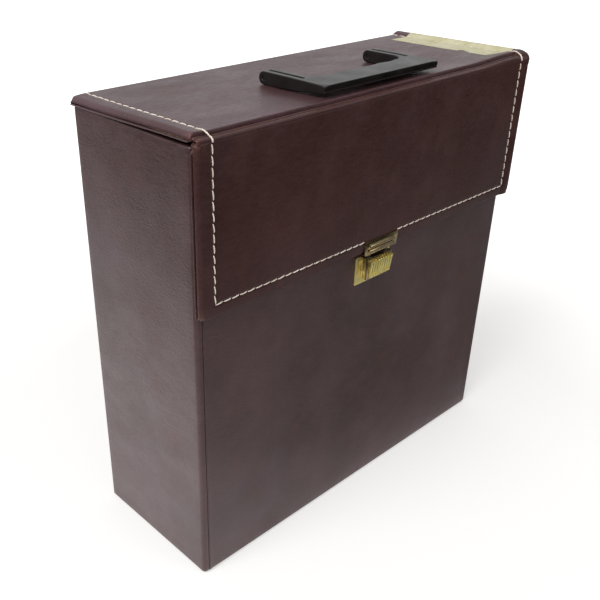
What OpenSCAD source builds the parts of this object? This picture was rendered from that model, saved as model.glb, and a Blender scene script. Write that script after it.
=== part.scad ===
// Record carrying case: a chipboard box covered in leatherette, with a padded lid whose front part
// folds down over the box as a flap, a moulded handle on two staples, and a spring lock with a
// ribbed thumb slide. X is the width, Y the depth with the front at -Y, and Z is up. The origin is
// the middle of the base, on the surface that the case stands on.

/* [Box] */
// Width of the box over its covering
case_w = 340; // [320:1:420]
// Depth of the box from front to back over its covering
case_d = 123; // [100:1:200]
// Height of the box without its lid
case_h = 331; // [300:1:380]
// Thickness of the chipboard walls and base
board = 3; // [2:0.1:4]
// Thickness of the leatherette covering
skin = 0.9; // [0.6:0.1:1.2]
// Thickness of the paper lining inside the box
lining = 0.5; // [0.3:0.1:0.8]
// Radius of the box's outer edges
corner_r = 3.5; // [2:0.1:3.8]
// Depth of the covering turned down inside the box's rim
turn_over = 14; // [8:1:30]
// Width of the front and back covering turned under the base
turn_under = 12; // [8:1:30]
// Gap left between neighbouring sheets of covering
seam = 0.2; // [0.1:0.1:0.5]
// How far the front and back sheets stand proud of the side sheets' turned edges
seam_step = 0.3; // [0:0.1:0.5]

/* [Lid and flap] */
// How far the lid and the flap stand out past each side of the box
lid_overhang = 1.5; // [0.5:0.1:4]
// Thickness of the board inside the lid and the flap
lid_board = 1.8; // [1.5:0.1:4]
// Thickness of the soft padding on that board
padding = 1.3; // [1:0.1:5]
// Distance that the flap hangs below the rim of the box
flap_h = 110; // [70:1:150]
// Clearance between the box and the closed lid and flap
lid_gap = 0.3; // [0.2:0.1:0.6]
// Width of the border outside the seam, where the cover slopes down to the edge
border = 11; // [8:0.5:16]
// How far the border slopes down at the lid's sides
lid_fall = 3.4; // [1:0.1:3.6]
// How far the border slopes down at the flap's sides and bottom
flap_fall = 1.6; // [1:0.1:3]
// Share of those slopes at the right side, where the border has kept its stuffing
right_share = 0.3; // [0.2:0.1:1]
// Thickness of the stiff lining of the lid and the flap
panel_lining = 1.6; // [1:0.1:2.2]
// How far the lining's round edge stands out past the cover
lip_out = 0.6; // [0.3:0.1:1]
// Radius of the flap's two lower corners
flap_corner_r = 4; // [3:0.5:12]
// Radius of the flap's two upper corners
flap_crown_r = 5; // [3:0.5:12]
// Width of the hem that the lid's and flap's covers have on their inner sides
hem = 12; // [8:1:25]
// Radius of the rolled welt in the fold between the lid and the flap
fold_r = 2.6; // [2:0.1:3.2]
// How far the welt lies below the lid's top
fold_sink = 1.8; // [1:0.1:2.5]
// Distance of the lid's front edge behind the front of the box
fold_setback = 1; // [0.5:0.1:3]
// Length of the fold's two tongues inside the lid and the flap
tongue = 10; // [5:1:20]
// Height of the hinge strip glued to the back of the box
hinge_lap = 25; // [15:1:60]
// Radius of the bead along the back hinge line
hinge_bead_r = 0.6; // [0.5:0.05:0.8]

/* [Name tape] */
// Length of the blank paper tape along the lid's right side
tape_len = 90; // [50:1:110]
// Width of the tape on the flat of the lid
tape_w = 20; // [10:1:60]
// Thickness of the tape
tape_t = 0.25; // [0.15:0.05:0.5]

/* [Handle] */
// Width of the handle over its two legs
handle_w = 119; // [100:1:160]
// Reach of the handle from its pins to its front edge
handle_reach = 56; // [48:1:58]
// Width of each leg
leg_w = 11; // [8:0.5:12]
// Depth of the grip from front to back
grip_d = 21.5; // [14:0.5:24]
// Distance of the pins in front of the middle of the lid
pin_offset = 3.5; // [0:0.5:6]
// Height of the pins over the lid's top
pin_height = 4.8; // [4.8:0.1:8]
// Radius of the round ends of the legs
ear_r = 4.5; // [4:0.1:4.5]
// Height of the grip's front edge
lip_h = 5; // [3:0.5:6]
// Height of the front edge's top over the lid's top
lip_top = 8.6; // [8:0.1:9.5]
// How far the grip's two front corners slope down
corner_drop = 0.6; // [0.2:0.1:2]
// Height and depth of the groove along the grip's front edge
lip_groove = 0.8; // [0.5:0.1:1.2]
// Number of finger bumps along the grip
finger_bumps = 4; // [3:1:5]
// Radius of the inside corners between the legs and the grip
grip_fillet = 10; // [6:1:14]
// Radius of the steel pins
pin_r = 1.5; // [1:0.1:2]
// Radial clearance of the pins
pin_fit = 0.05; // [0.02:0.01:0.1]
// Thickness of the staple plates that the pins pass through
staple_t = 1.6; // [1:0.1:2]
// Width of the staple plates
staple_w = 7; // [5:0.5:8]
// Length of the prongs that hold each staple under the lid
prong_len = 5; // [3:0.5:8]
// Clearance at each side of a staple plate in its fork
fork_gap = 0.4; // [0.2:0.05:0.6]
// Length of the groove in the top of each leg
groove_len = 37; // [15:1:38]
// Depth of that groove
groove_depth = 2.4; // [1:0.2:2.4]

/* [Lock] */
// Width of the lock's base plate
lock_w = 39; // [34:0.5:50]
// Height of the base plate
lock_h = 22.4; // [20:0.2:30]
// Distance of the lock below the flap
lock_gap = 5; // [4:0.5:8]
// Thickness of the brass plates
plate_t = 1; // [0.8:0.1:1.2]
// Width of the lock's housing
housing_w = 28; // [27:0.5:32]
// Height of the housing
housing_h = 17; // [17:0.5:20]
// Depth of the housing in front of the base plate
housing_d = 6.5; // [6.5:0.1:8]
// Wall of the housing
housing_wall = 0.8; // [0.6:0.1:1]
// Width of the thumb slide at its top
slide_w = 25; // [20:0.5:27]
// Height of the thumb slide
slide_h = 14; // [12:0.5:15]
// Thickness of the thumb slide at its top
slide_top_t = 2.4; // [1.8:0.1:4]
// Thickness of the thumb slide at its bottom
slide_foot_t = 0.9; // [0.8:0.1:1.8]
// Number of ribs on the thumb slide
slide_ribs = 9; // [5:1:12]
// Sideways travel of the thumb slide
slide_travel = 4.5; // [2:0.5:5]
// Distance of the two catch fingers from the lock's middle
finger_x = 10; // [8:0.5:10.5]
// Width of each catch finger
finger_w = 4; // [3:0.5:4]
// Thickness of the spring steel of the catch
finger_t = 0.5; // [0.4:0.1:0.7]
// Number of turns of the slide's return spring
spring_turns = 7; // [5:1:9]
// Radius of the spring's wire
wire_r = 0.3; // [0.2:0.05:0.35]
// Clearance around the lock's moving pieces
lock_fit = 0.3; // [0.2:0.05:0.4]
// Radius of the rivets' shanks
rivet_r = 1.2; // [1:0.1:1.5]

/* [Hasp] */
// Width of the hasp plate at its top
hasp_w = 38; // [32:0.5:46]
// Height of the hasp plate
hasp_h = 10.4; // [9.6:0.2:14]
// How far the hasp plate reaches below the flap
hasp_drop = 1.4; // [1.2:0.1:2]
// How much narrower the hasp plate is at its bottom
hasp_taper = 2.4; // [0:0.2:6]

/* [Hidden] */
$fn = 48;

// Cutting solids reach this far past what they cut
past = 20;
// Loose fit between pieces that are put together and don't move
fit = 0.1;
// How far a panel's rounded outline stands past its flat side, so that the two cross and don't only touch
cross = 0.02;

inner_x = case_w / 2 - skin - board;
inner_y = case_d / 2 - skin - board;
floor_z = skin + board;
seam_x = inner_x - skin - seam;

lid_bottom = case_h + lid_gap;
lid_t = panel_lining + 2 * skin + lid_board + padding;
lid_top = lid_bottom + lid_t;
lid_half_w = case_w / 2 + lid_overhang;
lid_front = -case_d / 2 + fold_setback;
lid_back = case_d / 2;
lid_plan_r = 3;
lid_front_r = 2;
nose_r = 1;
lip_r = panel_lining / 2;
lid_board_z = lid_bottom + panel_lining + skin;
flap_board_out = lid_gap + panel_lining + skin;
cover_half_w = lid_half_w - lip_out;

flap_bottom = case_h - flap_h;
flap_front = lid_gap + lid_t;
fold_out = flap_front - fold_r;
fold_z = lid_top - fold_sink - fold_r;
flap_top = fold_z - fold_r - lid_gap;

hinge_y = case_d / 2 + hinge_bead_r;
hinge_z = case_h + lid_gap / 2;

pin_y = -pin_offset;
pin_z = lid_top + pin_height;
grip_front = pin_y - handle_reach;
grip_back = grip_front + grip_d;
leg_x = handle_w / 2 - leg_w / 2;
leg_in = handle_w / 2 - leg_w;
shoulder_y = grip_back + grip_fillet;
shoulder_h = pin_height + ear_r - 0.1;
heel_len = 2.4 * ear_r;
lip_run = 6;
lip_under = 2.6;
bevel_turn = 53;
bevel_tilt = 8.3;
finger_pitch = (2 * leg_in - 2 * grip_fillet) / finger_bumps;
// Depth of the finger hollows
finger_depth = 1.1;
washer_t = 1;
prong_t = 1;
tape_seat = 0.02;

lock_top = flap_bottom - lock_gap;
lock_bottom = lock_top - lock_h;
housing_front = plate_t + housing_d;
housing_bottom = lock_top - housing_h;
housing_in = housing_front - housing_wall;
cavity_x = housing_w / 2 - housing_wall;
cavity_bottom = housing_bottom + housing_wall;
cavity_top = lock_top - housing_wall;
slide_top = lock_top - 2;
slide_back = housing_front + lock_fit;
slide_mid = (cavity_bottom + cavity_top) / 2;
carriage_t = 1;
carriage_out = housing_in - lock_fit - carriage_t;
stem_x = 3;
stem_z = 2;
finger_out = carriage_out - lock_fit - finger_t - 0.3;
spring_coil_r = 1.25;
spring_z = cavity_bottom + spring_coil_r + wire_r + 0.2;
spring_out = plate_t + finger_t + spring_coil_r + wire_r + lock_fit;
spring_left = -2;
cam_x = -3.2;
cam_z = slide_mid - 1.4;
cam_h = 2;
cam_push = 1.2;
hasp_bottom = flap_bottom - hasp_drop;
hasp_top = hasp_bottom + hasp_h;
hasp_shelf_t = hasp_drop - 0.4;
// Each raised bar of the hasp: its height on the plate as a share, and its radius
hasp_bars = [[0.28, 1.5], [0.62, 1.7]];
rivet_head_r = 2 * rivet_r - 0.6;
rivet_head_t = 0.7;

// Solids that several pieces share

module round_rect(w, h, r) {
    square([w - 2 * r, h], center = true);
    square([w, h - 2 * r], center = true);
    for (x = [-1, 1], y = [-1, 1])
        translate([x * (w / 2 - r), y * (h / 2 - r)]) circle(r);
}

// A rectangle from z0 up to z1 with its two lower corners rounded
module foot_rect(w, z0, z1, r) {
    translate([-w / 2, z0 + r]) square([w, z1 - z0 - r]);
    translate([-w / 2 + r, z0]) square([w - 2 * r, r]);
    for (x = [-1, 1])
        translate([x * (w / 2 - r), z0 + r]) circle(r);
}

// A rectangle from x0 to x1 and z0 to z1 with its two upper corners rounded
module crown_rect(x0, x1, z0, z1, r_first, r_last) {
    translate([x0, z0]) square([x1 - x0, z1 - z0 - max(r_first, r_last)]);
    translate([x0 + r_first, z0]) square([x1 - x0 - r_first - r_last, z1 - z0]);
    translate([x0, z0]) square([r_first, z1 - z0 - r_first]);
    translate([x1 - r_last, z0]) square([r_last, z1 - z0 - r_last]);
    translate([x0 + r_first, z1 - r_first]) circle(r_first);
    translate([x1 - r_last, z1 - r_last]) circle(r_last);
}

// A block by its limits
module slab(x, y, z) {
    translate([x[0], y[0], z[0]]) cube([x[1] - x[0], y[1] - y[0], z[1] - z[0]]);
}

// A block in front of the box, where out is the distance from the box's front face
module front_slab(x, out, z) {
    slab(x, [-case_d / 2 - out[1], -case_d / 2 - out[0]], z);
}

// A round bar that stands out from the front of the box
module front_rod(x, out, z, r) {
    translate([x, -case_d / 2 - out[0], z]) rotate([90, 0, 0]) cylinder(r = r, h = out[1] - out[0]);
}

// The outer form of the box, drawn in by inset, up to the height top
module box_form(inset, top) {
    r = corner_r - inset;
    intersection() {
        translate([0, 0, inset]) linear_extrude(top - inset)
            round_rect(case_w - 2 * inset, case_d - 2 * inset, r);
        rotate([90, 0, 0]) linear_extrude(case_d, center = true)
            foot_rect(case_w - 2 * inset, inset, top, r);
        rotate([90, 0, 90]) linear_extrude(case_w, center = true)
            foot_rect(case_d - 2 * inset, inset, top, r);
    }
}

module box_skin() {
    difference() {
        box_form(0, case_h);
        box_form(skin, case_h + past);
    }
}

// Half of a padded panel's section, from its middle out to its edge at x = half: flat as far as the
// seam, then an arc that falls away to a round nose
module half_panel(half, low, high, fall, inset) {
    arc_r = (pow(border, 2) + pow(fall, 2)) / (2 * fall);
    flat = half - border;
    nose = nose_r - min(inset, nose_r - 0.1);
    intersection() {
        union() {
            translate([-case_w, low + inset]) square([case_w + flat, high - low - 2 * inset]);
            translate([flat, high - arc_r]) circle(arc_r - inset, $fn = 240);
        }
        union() {
            translate([-case_w, low + inset]) square([case_w + half - inset - nose, high - low]);
            translate([-case_w, low + inset + nose]) square([case_w + half - inset, high - low]);
            translate([half - inset - nose, low + inset + nose]) circle(nose);
        }
    }
}

// The whole section, with the lower slope at the right side
module panel_section(half, low, high, fall, inset) {
    intersection() {
        half_panel(half, low, high, fall * right_share, inset);
        mirror([1, 0]) half_panel(half, low, high, fall, inset);
    }
}

// The form of the lid's cover, drawn in by inset
module lid_form(inset) {
    front = lid_front + inset;
    back = lid_back - inset;
    low = lid_bottom + panel_lining;
    intersection() {
        translate([0, (front + back) / 2, low + inset]) linear_extrude(lid_top - low - 2 * inset)
            round_rect(2 * (cover_half_w - inset + cross), back - front, lid_plan_r - inset);
        rotate([90, 0, 0]) linear_extrude(2 * case_d, center = true)
            panel_section(cover_half_w, low, lid_top, lid_fall, inset);
        rotate([90, 0, 90]) linear_extrude(2 * case_w, center = true)
            crown_rect(front, back, low + inset, lid_top - inset, lid_front_r - inset, lid_front_r - inset);
    }
}

// The outline of the flap, seen from the front
module flap_outline(half, low, high, r_low, r_high) {
    intersection() {
        foot_rect(2 * half, low, high, r_low);
        crown_rect(-half, half, low, high, r_high, r_high);
    }
}

// The form of the flap's cover, drawn in by inset: a panel that hangs in front of the box
module flap_form(inset) {
    half = cover_half_w - inset;
    low = flap_bottom + lip_out;
    near = lid_gap + panel_lining;
    translate([0, -case_d / 2, 0]) intersection() {
        rotate([90, 0, 0]) linear_extrude(flap_front)
            flap_outline(half + cross, low + inset, flap_top - inset, flap_corner_r - inset, flap_crown_r - inset);
        translate([0, 0, low - past]) linear_extrude(case_h)
            mirror([0, 1]) panel_section(cover_half_w, near, flap_front, flap_fall, inset);
        rotate([90, 0, -90]) linear_extrude(2 * case_w, center = true) intersection() {
            translate([0, low]) rotate(-90) half_panel(0, near, flap_front, flap_fall, inset);
            translate([0, flap_top]) rotate(-90)
                crown_rect(inset, case_h, near + inset, flap_front - inset, lid_front_r - inset, 0.1);
        }
    }
}

// The end view of a stiff lining from low to high: a thin bar with two round edges
module lining_end(low, high) {
    translate([low + lip_r, 0]) square([high - low - 2 * lip_r, panel_lining]);
    for (at = [low + lip_r, high - lip_r]) translate([at, lip_r]) circle(lip_r);
}

// The holes for the two staples that carry the handle
module staple_slits(gap) {
    for (x = [-leg_x, leg_x])
        slab([x - staple_t / 2 - gap, x + staple_t / 2 + gap],
            [pin_y - staple_w / 2 - gap, pin_y + staple_w / 2 + gap],
            [lid_bottom - past, lid_top + past]);
}

// Where the lock's and the hasp's rivets go through
lock_rivet_x = (cavity_x + finger_x) / 2 - 0.4;
hasp_rivet_x = hasp_w / 2 - 5;
hasp_rivet_z = (flap_bottom + hasp_top) / 2;

module lock_rivet_holes(r) {
    for (x = [-lock_rivet_x, lock_rivet_x])
        front_rod(x, [-past, past], slide_mid, r);
}

module hasp_rivet_holes(r) {
    for (x = [-hasp_rivet_x, hasp_rivet_x])
        front_rod(x, [-past, past], hasp_rivet_z, r);
}

// Box

module front_board() {
    color("#a58a68") difference() {
        intersection() {
            box_form(skin, case_h - skin);
            slab([-case_w, case_w], [-case_d, -inner_y], [0, case_h]);
        }
        lock_rivet_holes(rivet_r + fit);
    }
}

module back_board() {
    color("#a58a68") intersection() {
        box_form(skin, case_h - skin);
        slab([-case_w, case_w], [inner_y, case_d], [0, case_h]);
    }
}

module left_board() {
    color("#b0946f") intersection() {
        box_form(skin, case_h - skin);
        slab([-case_w, -inner_x], [-inner_y, inner_y], [0, case_h]);
    }
}

module right_board() {
    mirror([1, 0, 0]) left_board();
}

module base_board() {
    color("#b8a07c") slab([-inner_x, inner_x], [-inner_y, inner_y], [skin, floor_z]);
}

// The covering of the front: down the face, under the base, and over the rim to the inside
module front_cover() {
    color("#4a3230") difference() {
        union() {
            intersection() {
                box_skin();
                slab([-seam_x, seam_x], [-case_d, -case_d / 2 + turn_under], [-past, case_h]);
            }
            slab([-seam_x, seam_x], [-case_d / 2, -inner_y + skin], [case_h - skin, case_h]);
            slab([-seam_x, seam_x], [-inner_y, -inner_y + skin], [case_h - turn_over, case_h]);
        }
        lock_rivet_holes(rivet_r + fit);
    }
}

module back_cover() {
    color("#4a3230") {
        intersection() {
            box_skin();
            slab([-seam_x, seam_x], [case_d / 2 - turn_under, case_d], [-past, case_h]);
        }
        slab([-seam_x, seam_x], [inner_y - skin, case_d / 2], [case_h - skin, case_h]);
        slab([-seam_x, seam_x], [inner_y - skin, inner_y], [case_h - turn_over, case_h]);
    }
}

// The covering of a side, turned round the corners onto the front, the back and the base
module left_cover() {
    edge = inner_x - skin;
    face = case_d / 2 - seam_step;
    color("#513a37") {
        intersection() {
            box_skin();
            slab([-case_w, -seam_x - seam], [-face, face], [-past, case_h]);
        }
        intersection() {
            box_form(0, case_h);
            slab([-case_w, -edge], [-face, face], [case_h - skin, case_h]);
        }
        slab([-inner_x, -edge], [-inner_y, inner_y], [case_h - turn_over, case_h]);
    }
}

module right_cover() {
    mirror([1, 0, 0]) left_cover();
}

module base_cover() {
    half_d = case_d / 2 - turn_under - seam;
    color("#3f2b29") slab([-seam_x, seam_x], [-half_d, half_d], [0, skin]);
}

module wall_lining() {
    color("#c9bda2") difference() {
        slab([-inner_x, inner_x], [-inner_y, inner_y], [floor_z, case_h - turn_over - seam]);
        slab([-inner_x + lining, inner_x - lining], [-inner_y + lining, inner_y - lining],
            [floor_z - past, case_h]);
        lock_rivet_holes(rivet_r + fit);
    }
}

module floor_lining() {
    x = inner_x - lining - fit;
    y = inner_y - lining - fit;
    color("#c2b598") slab([-x, x], [-y, y], [floor_z, floor_z + lining]);
}

// The strip of leatherette that hinges the lid, with a bead along the line where it bends
module back_hinge() {
    half = case_w / 2 - corner_r;
    color("#4a3230") {
        slab([-half, half], [case_d / 2, case_d / 2 + skin], [case_h - hinge_lap, lid_top - lid_front_r]);
        translate([-half, hinge_y, hinge_z]) rotate([0, 90, 0]) cylinder(r = hinge_bead_r, h = 2 * half);
    }
}

// Lid

module lid_board_panel() {
    color("#a58a68") difference() {
        intersection() {
            lid_form(skin);
            slab([-case_w, case_w], [-case_d, case_d], [lid_board_z, lid_board_z + lid_board]);
        }
        staple_slits(fit);
    }
}

module lid_padding() {
    color("#d8cfae") difference() {
        intersection() {
            lid_form(skin);
            slab([-case_w, case_w], [-case_d, case_d], [lid_board_z + lid_board, lid_top]);
        }
        staple_slits(fit);
    }
}

// The lid's cover: a shell round the board and the padding, with a hem turned under the board
module lid_cover() {
    color("#553f3b") difference() {
        lid_form(0);
        lid_form(skin);
        slab([-lid_half_w + hem, lid_half_w - hem], [lid_front + hem, lid_back - hem],
            [lid_bottom - past, lid_board_z + skin]);
        staple_slits(fit);
    }
}

// The lid's lining: a stiff sheet with round side edges, and a thicker middle that fills the hem
module lid_lining() {
    half = lid_half_w - hem - fit;
    color("#6b5a4c") difference() {
        union() {
            translate([0, lid_back, lid_bottom]) rotate([90, 0, 0]) linear_extrude(lid_back - lid_front)
                lining_end(-lid_half_w, lid_half_w);
            slab([-half, half], [lid_front + hem + fit, lid_back - hem - fit], [lid_bottom, lid_board_z]);
        }
        lid_tongue();
        staple_slits(fit);
    }
}

// The rolled welt in the fold between the lid and the flap. One tongue of it is glued to the lid's
// lining, the other between the flap's board and its padding.
module lid_tongue() {
    half = lid_half_w - hem;
    slab([-half, half], [-case_d / 2 - fold_out, lid_front + tongue],
        [lid_bottom + panel_lining - skin, lid_bottom + panel_lining]);
}

module flap_tongue() {
    half = lid_half_w - hem;
    board_out = flap_board_out + lid_board;
    front_slab([-half, half], [board_out, board_out + skin], [flap_top - tongue, fold_z]);
}

module fold_welt() {
    half = lid_half_w - lid_plan_r;
    color("#6a4f48") {
        translate([-half, -case_d / 2 - fold_out, fold_z]) rotate([0, 90, 0]) cylinder(r = fold_r, h = 2 * half);
        lid_tongue();
        flap_tongue();
    }
}

// The tape lies on the flat of the lid and turns down over the border
module name_tape() {
    color("#cfc79c") intersection() {
        difference() {
            lid_form(-tape_t);
            lid_form(-tape_seat);
        }
        slab([cover_half_w - border - tape_w, case_w], [-tape_len / 2, tape_len / 2],
            [lid_top - lid_fall, lid_top + tape_t]);
    }
}

// Flap

module flap_board_panel() {
    color("#a58a68") difference() {
        intersection() {
            flap_form(skin);
            front_slab([-case_w, case_w], [0, flap_board_out + lid_board], [0, case_h]);
        }
        hasp_rivet_holes(rivet_r + fit);
        for (x = [-hasp_rivet_x, hasp_rivet_x])
            front_rod(x, [0, flap_board_out + rivet_head_t + fit], hasp_rivet_z, rivet_head_r + fit);
    }
}

module flap_padding() {
    color("#d8cfae") difference() {
        intersection() {
            flap_form(skin);
            front_slab([-case_w, case_w], [flap_board_out + lid_board, flap_front], [0, case_h]);
        }
        flap_tongue();
        hasp_rivet_holes(rivet_r + fit);
    }
}

module flap_cover() {
    color("#47302d") difference() {
        flap_form(0);
        flap_form(skin);
        front_slab([-lid_half_w + hem, lid_half_w - hem], [0, flap_board_out + skin],
            [flap_bottom + hem, flap_top - hem]);
        flap_tongue();
        hasp_rivet_holes(rivet_r + fit);
    }
}

// The flap's lining, with round edges along its sides and its bottom
module flap_lining() {
    half = lid_half_w - hem - fit;
    near_y = -case_d / 2 - lid_gap;
    color("#6b5a4c") {
        intersection() {
            rotate([90, 0, 0]) linear_extrude(case_d)
                flap_outline(lid_half_w, flap_bottom, flap_top, flap_corner_r, flap_crown_r);
            translate([0, near_y - panel_lining, 0]) linear_extrude(case_h)
                lining_end(-lid_half_w, lid_half_w);
            translate([0, near_y, 0]) rotate([90, 0, 90]) linear_extrude(case_w + 2 * past, center = true)
                rotate(90) lining_end(flap_bottom, flap_top + past);
        }
        front_slab([-half, half], [lid_gap, flap_board_out], [flap_bottom + hem + fit, flap_top - hem - fit]);
    }
}

// Handle

// The edge of the grip that the fingers lie against, as a wave with one hollow for each finger
function grip_edge(x) = grip_back - finger_depth / 2 * (1 - cos(360 * x / finger_pitch));

module handle_plan() {
    reach = leg_in - grip_fillet;
    steps = 12 * finger_bumps;
    difference() {
        translate([-handle_w / 2, grip_front]) square([handle_w, pin_y + ear_r - grip_front]);
        translate([-leg_in, shoulder_y]) square([2 * leg_in, handle_reach]);
        polygon(concat(
            [for (i = [0 : steps]) let (x = -reach + 2 * reach * i / steps) [x, grip_edge(x)]],
            [[reach, shoulder_y + 1], [-reach, shoulder_y + 1]]));
        for (x = [-reach, reach])
            translate([x, shoulder_y]) circle(grip_fillet);
    }
}

// The handle seen from its side: a round ear at the pin, a straight leg and a thin front edge
module handle_side() {
    groove_z = lid_top + lip_top - lip_h + lip_groove;
    translate([pin_y, pin_z]) circle(ear_r);
    difference() {
        polygon([
            [pin_y, pin_z + ear_r], [shoulder_y, lid_top + shoulder_h], [grip_front, lid_top + lip_top],
            [grip_front, lid_top + lip_top - lip_h], [grip_front + lip_run, lid_top + lip_under],
            [grip_back, lid_top + lip_under / 2], [pin_y - heel_len, pin_z - ear_r], [pin_y, pin_z - ear_r]
        ]);
        translate([grip_front - past, groove_z]) square([past + lip_groove, lip_groove]);
    }
}

// The moulded grip: fork ends for the staples, grooved legs, and finger hollows along its back edge
module handle_grip() {
    slot = staple_t / 2 + fork_gap;
    color("#2b2a28") difference() {
        intersection() {
            translate([0, 0, lid_top]) linear_extrude(3 * pin_height) handle_plan();
            rotate([90, 0, 90]) linear_extrude(2 * handle_w, center = true) handle_side();
        }
        for (side = [0, 1]) mirror([side, 0, 0]) {
            slab([-leg_x - slot, -leg_x + slot], [pin_y - staple_w / 2 - fork_gap, pin_y + past],
                [lid_top - past, lid_top + past]);
            slab([-leg_x - slot, -leg_x + slot], [pin_y + ear_r - groove_len, pin_y + past],
                [pin_z + ear_r - groove_depth, lid_top + past]);
            translate([-handle_w / 2, grip_front, lid_top + lip_top - corner_drop])
                rotate([0, 0, bevel_turn]) rotate([0, -bevel_tilt, 0])
                    translate([-past, -handle_reach, 0]) cube([3 * past, 2 * handle_reach, past]);
        }
        translate([-handle_w, pin_y, pin_z]) rotate([0, 90, 0]) cylinder(r = pin_r + pin_fit, h = 2 * handle_w);
    }
}

module handle_pins() {
    recess = 0.5;
    color("silver")
        for (x = [-leg_x, leg_x])
            translate([x - leg_w / 2 + recess, pin_y, pin_z]) rotate([0, 90, 0])
                cylinder(r = pin_r, h = leg_w - 2 * recess);
}

// One staple: an eye for the pin, a shank through the lid, and prongs clinched under the washer
module staple(x) {
    foot_z = lid_bottom - washer_t - prong_t;
    difference() {
        union() {
            translate([x - staple_t / 2, pin_y, pin_z]) rotate([0, 90, 0])
                cylinder(r = staple_w / 2, h = staple_t);
            slab([x - staple_t / 2, x + staple_t / 2], [pin_y - staple_w / 2, pin_y + staple_w / 2],
                [foot_z, pin_z]);
            slab([x - staple_t / 2, x + staple_t / 2],
                [pin_y - staple_w / 2 - prong_len, pin_y + staple_w / 2 + prong_len],
                [foot_z, foot_z + prong_t]);
        }
        translate([x - staple_t, pin_y, pin_z]) rotate([0, 90, 0]) cylinder(r = pin_r + pin_fit, h = 2 * staple_t);
    }
}

module handle_staples() {
    color("#6f6a5e")
        for (x = [-leg_x, leg_x])
            staple(x);
}

module staple_washers() {
    long = staple_w + 2 * prong_len + 2 * washer_t;
    wide = staple_w + 2 * washer_t;
    color("#8a8474") difference() {
        for (x = [-leg_x, leg_x])
            translate([x, pin_y, lid_bottom - washer_t]) linear_extrude(washer_t) round_rect(wide, long, 2);
        staple_slits(fit);
    }
}

// Hasp

// The plate on the flap: a tapered stamping with two raised bars, and a shelf below the flap's edge
// with two windows that the catch fingers snap into
module hasp_plate() {
    low_w = hasp_w - hasp_taper;
    shelf_back = finger_out - 2 * lock_fit - 1.6;
    bar_x = hasp_w / 2 - 5;
    color("#8d8464") difference() {
        union() {
            translate([0, -case_d / 2 - flap_front, 0]) rotate([90, 0, 0]) linear_extrude(plate_t)
                polygon([[-low_w / 2, hasp_bottom], [low_w / 2, hasp_bottom],
                    [hasp_w / 2, hasp_top], [-hasp_w / 2, hasp_top]]);
            front_slab([-low_w / 2, low_w / 2], [shelf_back, flap_front], [hasp_bottom, hasp_bottom + hasp_shelf_t]);
            for (bar = hasp_bars)
                intersection() {
                    translate([-bar_x, -case_d / 2 - flap_front - plate_t, hasp_bottom + bar[0] * hasp_h])
                        rotate([0, 90, 0]) cylinder(r = bar[1], h = 2 * bar_x);
                    front_slab([-bar_x, bar_x], [flap_front, flap_front + past], [hasp_bottom, hasp_top]);
                }
        }
        for (x = [-finger_x, finger_x])
            front_slab([x - finger_w / 2 - lock_fit, x + finger_w / 2 + lock_fit],
                [finger_out - 2 * lock_fit, finger_out + finger_t + 2 * lock_fit],
                [hasp_bottom - past, hasp_bottom + hasp_shelf_t + fit]);
    }
}

module hasp_rivets() {
    color("#b9a45a")
        for (x = [-hasp_rivet_x, hasp_rivet_x]) {
            front_rod(x, [flap_board_out, flap_front], hasp_rivet_z, rivet_r);
            front_rod(x, [flap_board_out, flap_board_out + rivet_head_t], hasp_rivet_z, rivet_head_r);
        }
}

// Lock

module lock_base() {
    color("#c8b06a") difference() {
        translate([0, -case_d / 2, (lock_top + lock_bottom) / 2]) rotate([90, 0, 0])
            linear_extrude(plate_t) round_rect(lock_w, lock_h, 1);
        lock_rivet_holes(rivet_r + fit);
    }
}

// The housing: a pressed box with a groove round its sides, slots for the fingers in its top and
// a slot for the slide's stem in its front
module lock_housing() {
    groove = 0.4;
    groove_w = 1.6;
    groove_out = plate_t + (housing_d - groove_w) / 2;
    color("#8d8464") difference() {
        front_slab([-housing_w / 2, housing_w / 2], [plate_t, housing_front], [housing_bottom, lock_top]);
        front_slab([-cavity_x, cavity_x], [0, housing_in], [cavity_bottom, cavity_top]);
        for (x = [-housing_w / 2, housing_w / 2])
            front_slab([x - groove, x + groove], [groove_out, groove_out + groove_w],
                [housing_bottom - past, lock_top + past]);
        for (x = [-finger_x, finger_x])
            front_slab([x - finger_w / 2 - lock_fit, x + finger_w / 2 + lock_fit],
                [finger_out - 2 * lock_fit, finger_out + finger_t + 2 * lock_fit],
                [cavity_top - 1, lock_top + past]);
        front_slab([-stem_x - lock_fit, stem_x + slide_travel + lock_fit], [housing_in - 1, housing_front + 1],
            [slide_mid - stem_z - lock_fit, slide_mid + stem_z + lock_fit]);
    }
}

module lock_rivets() {
    inside = skin + board + lining + washer_t;
    color("#b9a45a")
        for (x = [-lock_rivet_x, lock_rivet_x]) {
            front_rod(x, [-inside, plate_t], slide_mid, rivet_r);
            front_rod(x, [plate_t, plate_t + rivet_head_t], slide_mid, rivet_head_r);
            front_rod(x, [-inside - rivet_head_t, -inside], slide_mid, rivet_head_r);
        }
}

module lock_washers() {
    inside = skin + board + lining;
    color("#8a8474")
        for (x = [-lock_rivet_x, lock_rivet_x])
            difference() {
                front_rod(x, [-inside - washer_t, -inside], slide_mid, 2 * rivet_head_r);
                front_rod(x, [-past, past], slide_mid, rivet_r + fit);
            }
}

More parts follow.
